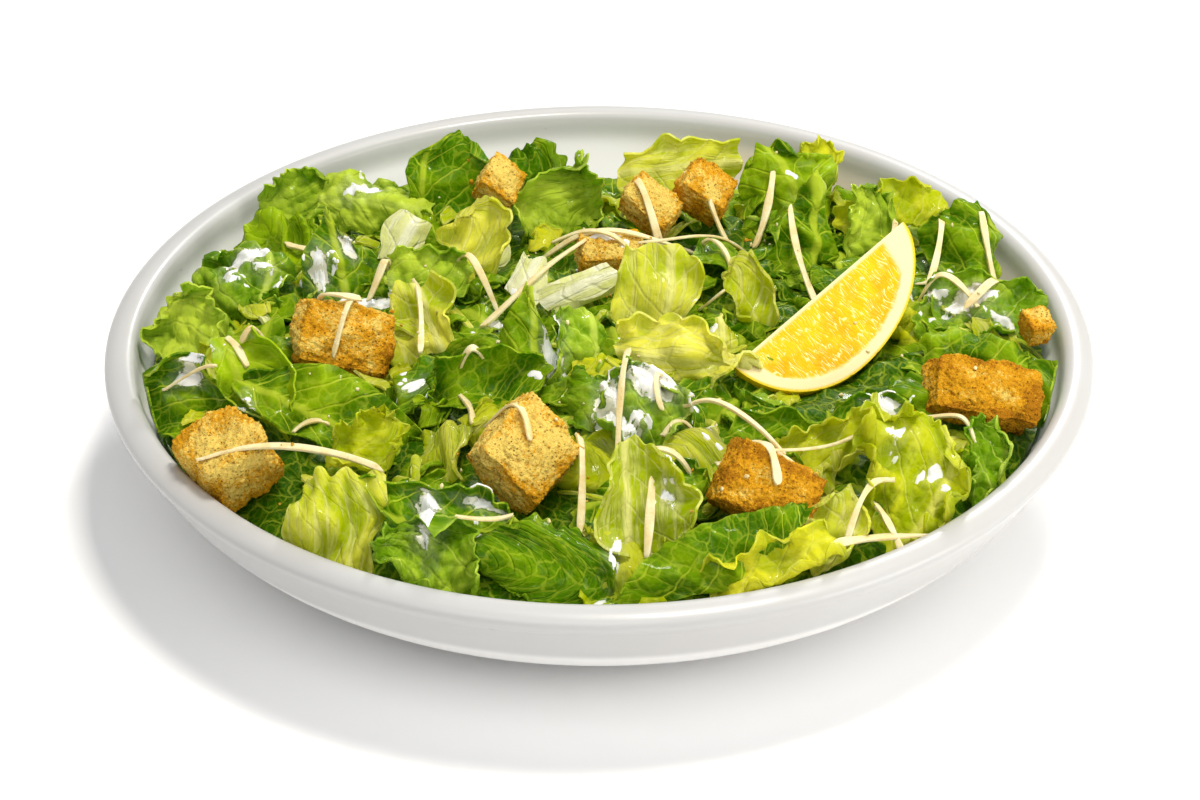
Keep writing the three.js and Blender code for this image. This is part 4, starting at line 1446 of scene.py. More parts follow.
    def sheet(self, leaf: Leaf, seed: int, cell: float) -> Piece:
        """Bends a grid into one piece of leaf.

        Args:
            leaf: What the piece is like.
            seed: A number of its own, for all that is uneven about it.
            cell: The size of its faces.

        Returns:
            The open sheet with its chart and values.
        """
        length, width = leaf.size
        piece, s, t = new_grid("leaf", max(6, round(width / cell)), max(8, round(length / cell)))
        found = self.surface(leaf, seed, s, t)
        points, normal = found["points"], found["normal"]
        edge = np.minimum((1 - np.abs(s)) * leaf.half_width(t), np.minimum(t, 1 - t) * length)
        tint = Ripple(26.0, seed + 6).at(found["chart"]) * 0.18 + (0.5 - t) * 0.25
        write_points(piece, points * MM)
        write_chart(piece, found["chart"])
        write_value(piece, "tone", leaf.tone + tint)
        write_value(piece, "coat", self.splash_at(points) * smooth(-0.1, 0.3, normal[:, 2]))
        # rim: nearness to the edge, where the leaf finish paints light as if through the thin edge.
        write_value(piece, "rim", smooth(0.6, 0.1, edge))
        # high: the relief's height, whose tops the leaf finish paints lighter as painted highlight and whose
        # grooves it paints darker as painted shade.
        write_value(piece, "high", 0.5 + found["relief"] / (2 * max(HABITS[leaf.sort].blister, 1.2)))
        return piece

    @staticmethod
    def _teeth(leaf: Leaf, seed: int, s: Array, t: Array) -> Array:
        """How far the edge stands out or in along the piece."""
        habit = HABITS[leaf.sort]
        side = np.where(s < 0, 31.0, 0.0)
        length, width = leaf.size
        along = np.column_stack([t * length, side])
        lobes = Ripple(17.0, seed + 1).at(along) * (0.35 + habit.teeth * 0.4)
        pace = t * length / 2.6 + Ripple(7.0, seed + 2).at(along) * 0.7
        saw = pace - np.floor(pace)
        bite = np.where(saw < 0.7, saw / 0.7, (1 - saw) / 0.3)
        toothed = smooth(-0.5, 0.6, Ripple(13.0, seed + 8).at(along))
        return (lobes + (bite - 0.5) * habit.teeth * toothed) * np.abs(s) ** 3

    @staticmethod
    def _relief(leaf: Leaf, habit: Habit, seed: int, chart: Array, s: Array) -> Array:
        """The height of blisters, veins and slow waves over the smooth piece."""
        first, second, mark = Cells(habit.cell, seed % 97).nearest(chart)
        border = smooth(0.0, 0.5, (second - first) / habit.cell)
        dome = (0.4 + 0.6 * mark) * border
        aside = np.abs(chart[:, 1])
        branch = (chart[:, 0] - 0.9 * aside - 0.012 * aside**2) / 9.0 + Ripple(24.0, seed + 7).at(chart) * 0.2
        row = np.abs(np.sin(math.pi * branch)) ** 0.6
        bulge = dome * (1 - habit.rows) + row * habit.rows * (0.6 + 0.4 * border)
        groove = np.exp(-(((branch - np.round(branch)) * 9.0 / 0.9) ** 2))
        midrib = np.exp(-((aside / 1.8) ** 2))
        sway = Ripple(17.0, seed + 3).at(chart) * habit.sway * leaf.crinkle
        frill = Ripple(6.5, seed + 4).at(chart) * habit.frill * np.abs(s) ** 4
        crease = habit.crumple * leaf.crinkle * (0.6 - np.abs(Ripple(17.0, seed + 9).at(chart)))
        pleat = 0.0
        if leaf.pleats:
            pleat = np.cos(2 * math.pi * leaf.pleats * s + 1.6 * Ripple(24.0, seed + 11).at(chart))
            pleat = pleat * (0.6 + 0.3 * Ripple(14.0, seed + 12).at(chart))
        blister = habit.blister * min(1.0, 0.3 + 0.7 * leaf.crinkle)
        return blister * (bulge - 0.5) - 0.2 * groove + 0.7 * midrib + sway + frill + crease + pleat

    def _kept_in(self, points: Array) -> Array:
        """Moves what would cross the bowl's wall back inside it."""
        radius = np.hypot(points[:, 0], points[:, 1])
        room = self.bowl.room(points[:, 2]) - 1.2
        pull = np.minimum(1.0, room / np.maximum(radius, 1e-6))
        kept = points.copy()
        kept[:, :2] *= pull[:, None]
        return kept

    @staticmethod
    def splash_at(points: Array) -> Array:
        """How much dressing lies at each place.

        Args:
            points: Rows of places.

        Returns:
            0 to 1 for each place.
        """
        amount = np.zeros(len(points))
        for x, y, length, width, way, thick in SPLASHES:
            turn = math.radians(way)
            dx, dy = points[:, 0] - x, points[:, 1] - y
            along = (dx * math.cos(turn) + dy * math.sin(turn)) / (length * 0.5 + FILM_REACH)
            across = (dy * math.cos(turn) - dx * math.sin(turn)) / (width * 0.5 + FILM_REACH)
            amount = np.maximum(amount, thick * np.exp(-(along**2 + across**2)))
        return amount

    @staticmethod
    def seed_of(number: int) -> int:
        """The number that a leaf's unevenness is drawn from."""
        return 100 + 10 * number

    def _joined(self, prefix: str, sheets: dict[Sort, list[Piece]]) -> list[Piece]:
        """One finished object for each sort that has sheets."""
        pieces = []
        for sort, members in sheets.items():
            if members:
                piece = join(prefix + sort.value, members)
                shade_smooth(piece, self.smooth_angle)
                pieces.append(dress(piece, FINISHES[sort].material(), HEAP_NODE))
        return pieces

    def build(self, toppings: Sequence[Spot]) -> list[Piece]:
        """Makes the leaves, one object for each sort, and under them the core and the bed.

        Args:
            toppings: The middles of croutons and lemon.

        Returns:
            The finished pieces.
        """
        fillers = self.fillers(ROMAINE, toppings)
        sheets: dict[Sort, list[Piece]] = {sort: [] for sort in Sort}
        for number, leaf in enumerate([*ROMAINE, *fillers]):
            cell = self.fine if number < len(ROMAINE) else self.coarse
            sheet = self.sheet(leaf, self.seed_of(number), cell)
            thicken(sheet, HABITS[leaf.sort].thickness)
            sheets[leaf.sort].append(sheet)
        pieces = self._joined("lettuce_", sheets)
        for piece in (self.core(), self.bed(toppings)):
            pieces.append(dress(piece, FINISHES[D].material(), HEAP_NODE))
        return pieces

    def chopped(self, leafy: Ground, whole: Ground) -> list[Piece]:
        """Makes the small chopped bits and strands that fill the dips between the leaves.

        Args:
            leafy: The top of the leaves alone.
            whole: The top of the leaves and the toppings.

        Returns:
            One object for each sort.
        """
        rng = np.random.default_rng(self.bit_seed)
        sorts, outlines = (L, F, D, R, B), (BAND, TIP, OVAL, FLAP)
        sheets: dict[Sort, list[Piece]] = {sort: [] for sort in Sort}
        turns = np.arange(8) * math.pi / 4
        ring = [(self.bit_ring * math.cos(turn), self.bit_ring * math.sin(turn)) for turn in turns]
        for number in range(self.bit_places):
            x, y = in_disc(rng, self.filler_reach)
            height, _ = leafy.top(x, y)
            around = np.mean([leafy.top(x + dx, y + dy)[0] for dx, dy in ring])
            strand = number % 4 == 0
            spans = ((14, 26), (1.6, 3)) if strand else ((9, 19), (5, 11))
            size = (rng.uniform(*spans[0]), rng.uniform(*spans[1]))
            pose = (rng.uniform(40, 88), rng.uniform(-90, 90), rng.uniform(-90, 90))
            bends = (rng.uniform(10, 70), rng.uniform(0, 60), rng.uniform(-0.3, 0.4), rng.uniform(-0.2, 0.5))
            sort = sorts[0 if strand else int(rng.choice(len(sorts), p=self.bit_shares))]
            outline = BAND if strand else outlines[rng.integers(len(outlines))]
            tone = rng.uniform(-0.4, 0.7)
            if around - height < self.bit_depth or whole.top(x, y)[0] > height + 0.3 or y > self.filler_back:
                continue
            lift = 0.1 * size[1] + 0.4
            place = (x, y, height + lift)
            twist = rng.uniform(-70, 70)
            leaf = Leaf(sort, outline, place, size, pose, *bends, twist=twist, rib=3.0, tone=tone)
            sheet = self.sheet(leaf, self.seed_of(self.bit_number + number), self.bit_cell)
            thicken(sheet, min(HABITS[sort].thickness, self.bit_thickest))
            sheets[sort].append(sheet)
        return self._joined("lettuce_bits_", sheets)


# -------------------------------- croutons


@dataclass(frozen=True)
class Crouton:
    """One torn and toasted cube of bread."""

    node: str
    centre: Triple
    size: Triple
    turn: Triple
    browning: float  # how far the faces are toasted
    seed: int
    rounding: float = 0.34
    round_radius: float = 1.14
    lean: float = 0.22  # how far a face may lean, as a share of the height
    cell: float = 0.5  # face size
    most_cells: int = 54  # along an edge

    def build(self, finish: Material) -> Piece:
        """Models the cube with its crags, pores and browned edges.

        Args:
            finish: The toast material.

        Returns:
            The finished crouton.
        """
        deselect()
        bpy.ops.mesh.primitive_cube_add(size=2)
        piece = bpy.context.object
        piece.name = self.node + "_toast"
        bpy.ops.object.mode_set(mode="EDIT")
        bpy.ops.mesh.select_all(action="SELECT")
        cells = min(self.most_cells, round(max(self.size) / self.cell))
        bpy.ops.mesh.subdivide(number_cuts=cells - 1)
        bpy.ops.object.mode_set(mode="OBJECT")
        cube = read_points(piece)
        rounded = cube * (1 - self.rounding) + unit(cube) * self.round_radius * self.rounding
        shape = self._leaned(rounded) * np.array(self.size) / 2
        outward = unit(rounded)
        crag = Ripple(10.0, self.seed).at(shape) * min(0.65, (sum(self.size) / 75) ** 2)
        crag = crag + Ripple(3.4, self.seed + 50).at(shape) * 0.22
        crag = crag + Ripple(1.7, self.seed + 60).at(shape) * 0.16
        near, _, mark = Cells(3.6, self.seed + 9).nearest(shape)
        hole = np.where(mark > 0.6, smooth(1.5, 0.5, near), 0.0) * (mark - 0.4) * 1.4
        fine, _, kind = Cells(1.5, self.seed + 19).nearest(shape)
        pore = smooth(0.75, 0.25, fine) * kind
        grain = np.random.default_rng(self.seed).uniform(-0.24, 0.24, len(shape))
        shape = shape + outward * (crag - 0.8 * hole - 0.3 * pore + grain)[:, None]
        edge = np.sort(np.abs(cube), axis=1)[:, 1]
        toast = smooth(0.5, 1.0, edge) * 0.35 + self.browning + Ripple(9.0, self.seed + 3).at(shape) * 0.22
        points = shape @ self._turn().T + np.array(self.centre)
        write_points(piece, points * MM)
        # The toast value falls towards the top of the cube, so its upper part comes out paler.
        write_value(piece, "toast", toast - 0.25 * smooth(-3.0, 5.0, points[:, 2] - self.centre[2]))
        write_value(piece, "pit", np.clip(hole + 0.5 * pore, 0, 1))
        shade_smooth(piece, 80.0)
        return dress(piece, finish, self.node)

    def _leaned(self, shape: Array) -> Array:
        """Leans the cube as the frame's own solid is leaned."""
        random = seeded(self.seed)
        lean = [(random() - 0.5) * self.lean for _ in range(3)]
        leaned = shape.copy()
        leaned[:, 0] += lean[0] * leaned[:, 2]
        leaned[:, 1] += lean[1] * leaned[:, 0]
        leaned[:, 2] += lean[2] * leaned[:, 1]
        return leaned

    def _turn(self) -> Array:
        """The turn about X, Y and Z as one matrix."""
        turn = np.eye(3)
        for axis, degrees in enumerate(self.turn):
            second, third = (axis + 1) % 3, (axis + 2) % 3
            cosine, sine = math.cos(math.radians(degrees)), math.sin(math.radians(degrees))
            about = np.eye(3)
            about[second, second] = about[third, third] = cosine
            about[second, third], about[third, second] = -sine, sine
            turn = turn @ about
        return turn


# middle, length, width and height, turn about X, Y and Z, and browning
CROUTONS = {
    "crouton_front_left": ((-98.4, -72.4, 49.6), (20, 22, 17), (14, -16, 38), 0.2),
    "crouton_left": ((-71, -24, 57), (27, 19, 12), (50, 12, -8), 0.4),
    "crouton_middle": ((-20, -80, 56), (22, 23, 17), (42, 20, -38), 0.1),
    "crouton_front_right": ((43, -94, 54), (26, 19, 15), (50, 6, -26), 0.85),
    "crouton_right": ((104, -44, 52), (31, 17, 14), (42, 8, -10), 0.7),
    "crouton_back_left": ((-30, 62, 58), (12.5, 12.5, 13), (34, 20, -24), 0.15),
    "crouton_back_middle": ((15, 46, 60), (17, 11, 11), (40, 16, -34), 0.15),
    "crouton_back_right": ((31, 55, 60), (16, 13, 13), (34, 24, -26), 0.4),
    "crouton_far_right": ((123.5, -5, 50), (8, 9, 8), (20, 10, 20), 0.4),
    "crouton_sunk": ((3, 26, 55), (19, 11, 10), (20, 4, 6), 0.2),
}


# -------------------------------- lemon wedge


@dataclass(frozen=True)
class LemonWedge:
    """A lengthwise wedge of lemon: two cut faces of flesh, a band of pith and the peel."""

    length: float = 72.0
    radius: float = 23.3
    angle: float = 62.0
    droop: float = 0.16  # how much fuller the lower end is
    place: Triple = (61.8, -8.1, 62.6)
    belly: Pair = (73, -22)  # over the middle of the peel
    axis: Triple = (49.4, 49.2, 17.9)
    cut: Triple = (0.656, -0.383, -0.47)
    pith: float = 3.6
    core_pith: float = 0.9
    tip_pith: Pair = (5.0, 9.5)  # at the lower and at the upper end
    face_cuts: tuple[int, int] = (130, 64)  # faces along and across a cut face
    rind_cuts: tuple[int, int] = (110, 40)  # faces along and round the peel

    def _radius_at(self, share: Array) -> Array:
        """The lemon's half outline: round in the middle, drawn out to a blunt nose at each end."""
        round_part = np.sqrt(np.clip(1 - share**2, 0, 1))
        return self.radius * (0.82 * round_part + 0.18 * (1 - np.abs(share) ** 3)) * (1 - self.droop * share)

    def _directions(self) -> tuple[Array, Array, Array]:
        """The first cut face's outward way, the way round from it, and the lemon's axis."""
        axis = np.array(self.axis) / np.linalg.norm(self.axis)
        cut = np.array(self.cut)
        across = cut - axis * (cut @ axis)
        across /= np.linalg.norm(across)
        return across, np.cross(axis, across), axis

    def _placed(self, out: Array, turn: Array, share: Array) -> Array:
        """Places from the distance out, the angle round and the share along the axis."""
        across, third, axis = self._directions()
        round_way = np.outer(np.cos(turn), across) + np.outer(np.sin(turn), third)
        return np.array(self.place) + round_way * out[:, None] + np.outer(share * self.length / 2, axis)

    def _face(self, turn: float, name: str) -> Piece:
        """One cut face with its sacs of juice, walls and pith."""
        piece, s, t = new_grid(name, *self.face_cuts)
        share = np.sin(s * math.pi / 2)
        reach = self._radius_at(share)
        out = reach * t
        along = share * self.length / 2
        flat = np.column_stack([along, out])
        rind_gap = (reach - out) * np.sqrt(np.clip(1 - share**2, 0.06, 1))
        soft = 0.6 + 0.25 * Ripple(2.4, 21).at(flat)
        inside = smooth(self.pith - 0.6, self.pith + 0.6, rind_gap + soft - 0.6)
        inside *= smooth(self.core_pith - 0.5, self.core_pith + 0.5, out)
        low, high = self.tip_pith
        inside *= smooth(low - 0.8, low + 0.8, along + self.length / 2 - 0.25 * out)
        inside *= smooth(high - 0.8, high + 0.8, self.length / 2 - along - 0.25 * out)
        sacs_at = flat * np.array([0.72, 0.17]) + Ripple(14.0, 3).at(flat)[:, None] * 0.15
        first, second, mark = Cells(1.0, 5).nearest(sacs_at)
        sac = smooth(0.0, 0.5, second - first) * (0.5 + 0.5 * mark)
        height = inside * (sac * 0.14 - 0.5) + Ripple(9.0, 8).at(flat) * 0.15 * inside
        points = self._placed(out, np.full(len(s), turn), share)
        across, third, axis = self._directions()
        normal = np.cross(axis, math.cos(turn) * across + math.sin(turn) * third)
        side = -1.0 if turn == 0 else 1.0
        points = points + np.outer(height * side, normal)
        write_points(piece, points * MM)
        write_chart(piece, flat)
        write_value(piece, "flesh", inside)
        write_value(piece, "peel", smooth(1.0, 0.2, rind_gap))
        pale = smooth(9.0, 1.0, out) * 0.7 + 0.15 * Ripple(10.0, 31).at(flat)
        write_value(piece, "pale", np.clip(pale, 0, 1))
        return piece

    def _rind(self) -> Piece:
        """The peel from one cut face round to the other."""
        piece, s, t = new_grid("rind", *self.rind_cuts)
        share = np.sin(s * math.pi / 2)
        turn = t * math.radians(self.angle)
        reach = self._radius_at(share)
        flat = np.column_stack([share * self.length / 2, turn * self.radius])
        bumps = Ripple(3.0, 12).at(flat) * 0.12 * np.minimum(1, 6 * t * (1 - t))
        points = self._placed(np.maximum(reach + bumps, 0), turn, share)
        write_points(piece, points * MM)
        write_chart(piece, flat)
        for name, value in (("flesh", 0.0), ("peel", 1.0), ("pale", 0.0)):
            write_value(piece, name, np.full(len(s), value))
        return piece

    def build(self) -> Piece:
        """Joins the two faces and the peel into a closed wedge.

        Returns:
            The finished wedge.
        """
        faces = [self._face(0.0, "face_a"), self._face(math.radians(self.angle), "face_b")]
        piece = join("lemon_wedge_cut", [*faces, self._rind()])
        tidy_shell(piece, 0.03, 50.0)
        return dress(piece, LemonFinish().material(), "lemon_wedge")


# -------------------------------- parmesan and crumbs


class Ground:
    """What lies on top of the salad so far, to lay other things on."""

    SKY = 0.2  # metres over the table, above everything
    BARE = 44.0  # the height where nothing lies over a place

    def __init__(self, pieces: Sequence[Piece]) -> None:
        """Collects the triangles of the pieces."""
        corners: list[Array] = []
        faces: list[tuple[int, ...]] = []
        count = 0
        for piece in pieces:
            points = read_points(piece)
            corners.append(points)
            faces += [tuple(v + count for v in face.vertices) for face in piece.data.polygons]
            count += len(points)
        self.tree = BVHTree.FromPolygons(np.vstack(corners).tolist(), faces)

    def top(self, x: float, y: float) -> tuple[float, Array]:
        """The highest surface over a place.

        Args:
            x: Place to the right in millimetres.
            y: Place away from the diner in millimetres.

        Returns:
            Its height in millimetres and its normal.
        """
        hit, normal, _, _ = self.tree.ray_cast(Vector((x * MM, y * MM, self.SKY)), Vector((0, 0, -1)))
        if hit is None:
            return self.BARE, np.array([0.0, 0.0, 1.0])
        facing = np.array(normal) * (1 if normal.z > 0 else -1)
        return hit.z / MM, facing


# the plan places of a shred's two ends, and how far its middle bends aside
SHREDS = [
    ((-53, 10), (-49, -34), 1), ((-4, 25), (-33, -4), 2), ((-43, 22), (-29, 6), 1),
    ((-60, 21), (-66, 8), 0.5), ((-14, 37), (14, 24), -4), ((-16, 30), (28, 30), -3),
    ((12, 24), (43, 44), -3), ((27, 31), (39, 14), 2), ((52, 68), (46, 47), 1),
    ((56, 45), (64, 5), -2), ((76, 58), (82, 64), 0.5), ((101, 57), (95, 21), 2),
    ((113, 54), (117, 30), -2), ((119, 27), (104, 5), 3), ((108, 6), (92, 13), -2),
    ((-119, -40), (-104, -43), 0.5), ((-105, -81), (-56, -94), 6), ((-56, -90), (-38, -96), -1),
    ((-6, -67), (-5, -103), 1), ((8, -50), (5, -79), -1), ((5, -80), (27, -88), -3),
    ((23, -62), (48, -86), 3), ((44, -92), (68, -68), -3), ((63, -110), (77, -88), 1),
    ((60, -113), (87, -100), 1), ((71, -94), (78, -108), 0.5), ((85, -56), (100, -69), 2),
    ((-38, -46), (-34, -60), 1), ((-30, -72), (-18, -86), 3), ((-67, -12), (-73, -34), 1),
    ((7, 56), (19, 33), -1), ((31, -75), (39, -77), 0), ((40, -84), (46, -100), 1),
]


@dataclass(frozen=True)
class Parmesan:
    """Long shreds of hard cheese that lie across leaves and croutons."""

    width: float = 1.9
    thickness: float = 0.8
    steps: int = 28
    sink: float = 0.5  # how far a shred presses into the leaves
    stiffness: int = 40  # how many times a shred's bends are eased
    bevel: float = 0.14
    loose: int = 20  # short shreds between the long ones
    loose_reach: float = 112.0
    loose_half: Pair = (3, 9)  # the least and the greatest half length of a short one
    loose_aside: float = 3.0
    seed: int = 77

    def shred(self, ground: Ground, start: Spot, end: Spot, aside: float, seed: int) -> Piece:
        """Models one shred from end to end.

        Args:
            ground: What it lies on.
            start: Plan place of one end.
            end: Plan place of the other.
            aside: How far its middle bends aside.
            seed: A number of its own.

        Returns:
            The closed strip.
        """
        rng = np.random.default_rng(seed)
        piece, s, t = new_grid("shred", 3, self.steps)
        first, last = np.array(start, float), np.array(end, float)
        way = (last - first) / np.linalg.norm(last - first)
        side = np.array([-way[1], way[0]])
        samples = np.linspace(0, 1, self.steps + 1)
        line = first + np.outer(samples, last - first) + np.outer(aside * (1 - (2 * samples - 1) ** 2), side)
        rest = self._resting(np.array([ground.top(*spot)[0] for spot in line]))
        place = t * self.steps
        plan = np.column_stack([np.interp(place, range(len(samples)), line[:, axis]) for axis in (0, 1)])
        middle = np.interp(place, range(len(samples)), rest)
        end_taper = np.minimum(1, 0.55 + 9 * np.minimum(t, 1 - t))
        taper = end_taper * (1 + 0.16 * np.sin(t * rng.uniform(6, 14) + seed))
        twist = rng.uniform(-0.5, 0.5) + rng.uniform(-1.4, 1.4) * (t - 0.5)
        offset = s * self.width / 2 * taper * rng.uniform(0.75, 1.15)
        jag = rng.uniform(-0.8, 0.8, 2)
        plan = plan + np.outer(s * np.where(t < 0.5, jag[0] * (t < 0.01), jag[1] * (t > 0.99)), way)
        plan = plan + np.outer(offset * np.cos(twist), side)
        points = np.column_stack([plan, middle + offset * np.sin(twist)])
        write_points(piece, points * MM)
        thicken(piece, self.thickness * rng.uniform(0.75, 1.15))
        return piece

    def _resting(self, ground: Array) -> Array:
        """The height along a shred that lies on the high points of what is under it.

        Args:
            ground: Heights under it, evenly spaced.

        Returns:
            Its heights.
        """
        count = len(ground)
        lifted = ground + self.thickness / 2 - self.sink
        contacts = [0]
        while contacts[-1] < count - 1:
            here = contacts[-1]
            slopes = (lifted[here + 1 :] - lifted[here]) / np.arange(1, count - here)
            contacts.append(here + 1 + int(np.argmax(slopes)))
        hull = np.interp(np.arange(count), contacts, lifted[contacts])
        for _ in range(self.stiffness):
            hull[1:-1] = 0.5 * hull[1:-1] + 0.25 * (hull[:-2] + hull[2:])
        return hull + min(3.0, float(np.max(lifted - hull))) * 0.9

    def build(self, ground: Ground, finish: Material) -> Piece:
        """Lays all the shreds.

        Args:
            ground: What they lie on.
            finish: The cheese material.

        Returns:
            The joined shreds.
        """
        strips = [self.shred(ground, a, b, c, 900 + i) for i, (a, b, c) in enumerate(SHREDS)]
        rng = np.random.default_rng(self.seed)
        for i in range(self.loose):
            x, y = in_disc(rng, self.loose_reach)
            heading = rng.uniform(0, math.pi)
            reach = rng.uniform(*self.loose_half)
            dx, dy = reach * math.cos(heading), reach * math.sin(heading)
            ends = ((x - dx, y - dy), (x + dx, y + dy))
            aside = rng.uniform(-self.loose_aside, self.loose_aside)
            strips.append(self.shred(ground, *ends, aside, 1000 + i))
        piece = join("parmesan_shreds", strips)
        apply_modifier(piece, "BEVEL", width=self.bevel * MM, segments=1, limit_method="ANGLE")
        shade_smooth(piece, 50.0)
        return dress(piece, finish, HEAP_NODE)


# -------------------------------- dressing


@dataclass(frozen=True)
class Dressing:
    """Creamy dressing in pools, smears and drops on whatever shows."""

    cell: float = 0.42  # face size
    depth: float = 0.9  # how far the middle of a wide pool stands up
    thickness: float = 0.35  # of the layer
    sink: float = 0.22  # how far the layer's top lies under what holds it, at its edge
    drops: int = 110
    highest_step: float = 1.6  # a face that falls by more than this is a gap between leaves
    loosest: float = 0.6  # a pool with more than this share of such faces is left out
    settling: int = 5  # how many times the height under a pool is evened out
    seed: int = 31

    def pool(self, ground: Ground, splash: Spot, seed: int) -> Piece | None:
        """Pours one pool onto what lies under it.

        Args:
            ground: What it lies on.
            splash: Its x, y, length, width and way.
            seed: A number of its own, for its outline.

        Returns:
            The closed layer, or nothing where nothing is level enough to hold it.
        """
        _, _, length, width, _ = splash
        count = max(8, round(max(length, width) / self.cell))
        piece, s, t = new_grid("pool", count, count)
        t = 2 * t - 1
        plan, away = self._oval(splash, seed, s, t)
        under = np.array([ground.top(*spot)[0] for spot in plan])
        filled = self._filled(under, np.lexsort((s, t)))
        swell = np.sqrt(np.clip(1 - away**2, 0, 1))
        deep = self.depth * min(1.0, 0.35 + min(length, width) / 9)
        top = under + np.clip(filled - under, -0.1, 0.7) * swell + deep * swell - self.sink
        write_points(piece, np.column_stack([plan, top]) * MM)
        corners = np.empty(len(piece.data.loops), np.int32)
        piece.data.loops.foreach_get("vertex_index", corners)
        loose = np.ptp(under[corners].reshape(-1, 4), axis=1) > self.highest_step
        if loose.mean() > self.loosest:
            bpy.data.objects.remove(piece)
            return None
        self._cut_out(piece, loose)
        thicken(piece, self.thickness, -1.0)
        return piece

    @staticmethod
    def _oval(splash: Spot, seed: int, s: Array, t: Array) -> tuple[Array, Array]:
        """The plan places of a square grid drawn to an uneven oval, and how far out each is."""
        x, y, length, width, way = splash
        rng = np.random.default_rng(seed)
        u, v = s * np.sqrt(1 - t * t / 2), t * np.sqrt(1 - s * s / 2)
        turn, away = np.arctan2(v, u), np.hypot(u, v)
        waves = [(k, rng.uniform(0, 2 * math.pi), rng.uniform(0.5, 1) * 0.42 / k) for k in (2, 3, 4, 6)]
        wobble = 1 + sum(size * np.sin(k * turn + phase) for k, phase, size in waves)
        along, across = u * wobble * length / 2, v * wobble * width / 2
        cosine, sine = math.cos(math.radians(way)), math.sin(math.radians(way))
        plan = np.column_stack([x + along * cosine - across * sine, y + along * sine + across * cosine])
        return plan, away

    def _filled(self, under: Array, order: Array) -> Array:
        """The heights under a pool, evened out. The order sorts them into rows of a square."""
        side = math.isqrt(len(under))
        level = under[order].reshape(side, side)
        for _ in range(self.settling):
            wide = np.pad(level, 1, mode="edge")
            level = (wide[:-2, 1:-1] + wide[2:, 1:-1] + wide[1:-1, :-2] + wide[1:-1, 2:] + level * 2) / 6
        filled = np.empty_like(under)
        filled[order] = level.ravel()
        return filled

    @staticmethod
    def _cut_out(piece: Piece, marked: Array) -> None:
        """Takes the marked faces out of a sheet."""
        bpy.ops.object.mode_set(mode="EDIT")
        bpy.ops.mesh.select_all(action="DESELECT")
        bpy.ops.object.mode_set(mode="OBJECT")
        piece.data.polygons.foreach_set("select", marked)
        bpy.ops.object.mode_set(mode="EDIT")
        bpy.ops.mesh.select_mode(type="FACE")
        bpy.ops.mesh.delete(type="FACE")
        bpy.ops.object.mode_set(mode="OBJECT")

    def build(self, ground: Ground, finish: Material) -> Piece:
        """Pours all the pools and the drops round them.

        Args:
            ground: What they lie on.
            finish: The cream material.

        Returns:
            The joined layers.
        """
        rng = np.random.default_rng(self.seed)
        splashes = [splash[:5] for splash in SPLASHES]
        for _ in range(self.drops):
            x, y, length, width = SPLASHES[rng.integers(len(SPLASHES))][:4]
            spot = beside(rng, (x, y), max(length, width) / 2 + 1, (0.6, 1.9))
            size = rng.uniform(0.9, 2.6)
            splashes.append((*spot, size * rng.uniform(1, 1.8), size, rng.uniform(0, 180)))
        pools = [self.pool(ground, splash, 500 + number) for number, splash in enumerate(splashes)]
        piece = join("dressing_cream", [pool for pool in pools if pool is not None])
        shade_smooth(piece, 80.0)
        return dress(piece, finish, HEAP_NODE)


# -------------------------------- crumbs


@dataclass(frozen=True)
class Crumbs:
    """Crumbs of toast round the croutons and grains of cheese over the whole."""

    round_each: int = 9
    crumb_reach: float = 118.0
    grains: int = 110
    grain_reach: float = 114.0
    seed: int = 19

    def scatter(self, name: str, ground: Ground, spots: Sequence[Spot], finish: Material) -> Piece:
        """Lays small uneven grains.

        Args:
            name: The piece's name.
            ground: What they lie on.
            spots: x, y and size of each.
            finish: Their material.

        Returns:
            The joined grains.
        """
        rng = np.random.default_rng(len(spots))
        grains = []
        for x, y, size in spots:
            deselect()
            bpy.ops.mesh.primitive_ico_sphere_add(subdivisions=2, radius=1)
            grain = bpy.context.object
            shape = read_points(grain)
            shape *= 1 + rng.uniform(-0.22, 0.22, len(shape))[:, None]
            shape = shape * rng.uniform(0.6, 1.3, 3) * size / 2
            height, _ = ground.top(x, y)
            write_points(grain, (shape + np.array([x, y, height + size * 0.25])) * MM)
            write_value(grain, "toast", np.full(len(shape), rng.uniform(0.1, 0.7)))
            write_value(grain, "pit", np.zeros(len(shape)))
            grains.append(grain)
        piece = join(name, grains)
        shade_smooth(piece, 50.0)
        return dress(piece, finish, HEAP_NODE)

    def build(self, ground: Ground, toast: Material, cheese: Material) -> None:
        """Lays the crumbs and the grains.

        Args:
            ground: What they lie on.
            toast: The bread material.
            cheese: The cheese material.
        """
        rng = np.random.default_rng(self.seed)
        crumbs = []
        for (x, y, _), size, _, _ in CROUTONS.values():
            for _ in range(self.round_each):
                spot = beside(rng, (x, y), max(size), (0.5, 0.95))
                if math.hypot(*spot) < self.crumb_reach:
                    crumbs.append((*spot, rng.uniform(0.5, 1.5)))
        self.scatter("toast_crumbs", ground, crumbs, toast)
        grains = []
        for _ in range(self.grains):
            grains.append((*in_disc(rng, self.grain_reach), rng.uniform(0.5, 1.3)))
        self.scatter("cheese_grains", ground, grains, cheese)


# -------------------------------- studio


# where a light stands and what it points at, in metres, its width, its power and its colour
LIGHTS = {
    "key": ((0.25, 0.06, 1.45), (0.0, 0.0, 0.05), 0.32, 15.0, (255, 250, 240)),
    "glint": ((0.35, 1.2, 0.9), (0.0, 0.0, 0.05), 0.2, 8.0, (255, 255, 255)),
    "side_fill": ((1.3, -0.7, 0.5), (0.0, 0.0, 0.03), 0.9, 13.0, (255, 252, 248)),
    "front_fill": ((-0.2, -1.0, 1.35), (0.0, 0.0, 0.04), 1.0, 6.0, (250, 252, 255)),
}


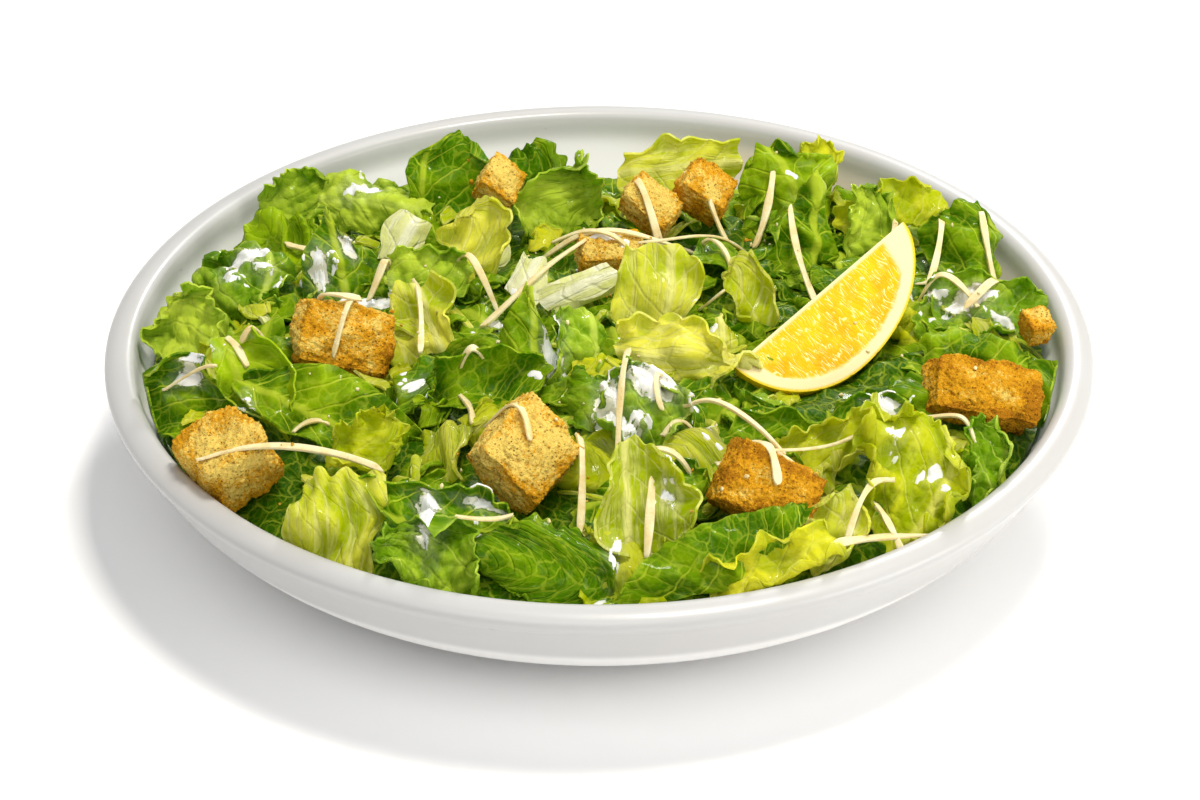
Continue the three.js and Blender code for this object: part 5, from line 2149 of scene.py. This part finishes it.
@dataclass(frozen=True)
class Studio:
    """A white floor, light from above and behind with soft fills in front, and the camera."""

    camera_place: Triple = (0.0002, -0.8109, 0.5388)  # in metres
    lens: float = 100.0
    film_width: float = 36.0
    floor_size: float = 6.0
    floor_white: Rgb = (255, 255, 255)
    sky: float = 0.39  # how bright the white all round is

    def build(self) -> None:
        """Makes the floor, the lights and the camera."""
        self._floor()
        for name, values in LIGHTS.items():
            self._light(name, *values)
        world = bpy.context.scene.world or bpy.data.worlds.new("studio")
        bpy.context.scene.world = world
        world.use_nodes = True
        background = world.node_tree.nodes["Background"]
        background.inputs["Color"].default_value = (1, 1, 1, 1)
        background.inputs["Strength"].default_value = self.sky
        self._camera()
        view = bpy.context.scene.view_settings
        view.view_transform = "Standard"
        view.look = "None"

    def _floor(self) -> None:
        """A wide white floor just under the foot."""
        deselect()
        bpy.ops.mesh.primitive_plane_add(size=self.floor_size)
        floor = bpy.context.object
        floor.name = "floor"
        paint = Paint("floor_white")
        paint.surface(Base_Color=linear(self.floor_white), Roughness=0.9)
        floor.data.materials.append(paint.material)

    @staticmethod
    def _light(name: str, place: Triple, aim: Triple, size: float, power: float, tint: Rgb) -> None:
        """One square light that points at a place."""
        data = bpy.data.lights.new(name, "AREA")
        data.size, data.energy = size, power
        data.color = linear(tint)[:3]
        light = bpy.data.objects.new(name, data)
        light.location = place
        way = Vector(aim) - Vector(place)
        light.rotation_euler = way.to_track_quat("-Z", "Y").to_euler()
        bpy.context.scene.collection.objects.link(light)

    def _camera(self) -> None:
        """The camera at the diner's side, looking down over the rim."""
        data = bpy.data.cameras.new("camera")
        data.lens, data.sensor_width = self.lens, self.film_width
        data.clip_start, data.clip_end = 0.05, 20.0
        camera = bpy.data.objects.new("camera", data)
        camera.location = self.camera_place
        camera.rotation_euler = (math.radians(90 - VIEW_TILT), 0, 0)
        bpy.context.scene.collection.objects.link(camera)
        bpy.context.scene.camera = camera


# -------------------------------- the whole


def main() -> None:
    """Builds the salad around its frame and reports each piece."""
    logging.basicConfig(level=logging.INFO, format="%(message)s")
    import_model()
    Studio().build()
    bowl = Bowl()
    dress(bowl.build(), GlazeFinish().material(), "bowl")
    toast = ToastFinish().material()
    cubes = [Crouton(name, *place, seed=i + 1) for i, (name, place) in enumerate(CROUTONS.items())]
    lemon = LemonWedge()
    toppings = [*[cube.build(toast) for cube in cubes], lemon.build()]
    heap = Heap(bowl)
    greens = heap.build([*[cube.centre for cube in cubes], lemon.place, lemon.belly])
    greens += heap.chopped(Ground(greens), Ground([*greens, *toppings]))
    cream = CreamFinish("dressing", (250, 249, 244), (240, 239, 230), 0.2, 0.04, 0.5).material()
    sauce = Dressing().build(Ground([*greens, *toppings]), cream)
    cheese = CreamFinish("parmesan", (242, 226, 176), (228, 202, 138), 0.45, 0.2, 0.05).material()
    shreds = Parmesan().build(Ground([*greens, *toppings, sauce]), cheese)
    Crumbs().build(Ground([*greens, *toppings, sauce, shreds]), toast, cheese)


if __name__ == "__main__":
    main()
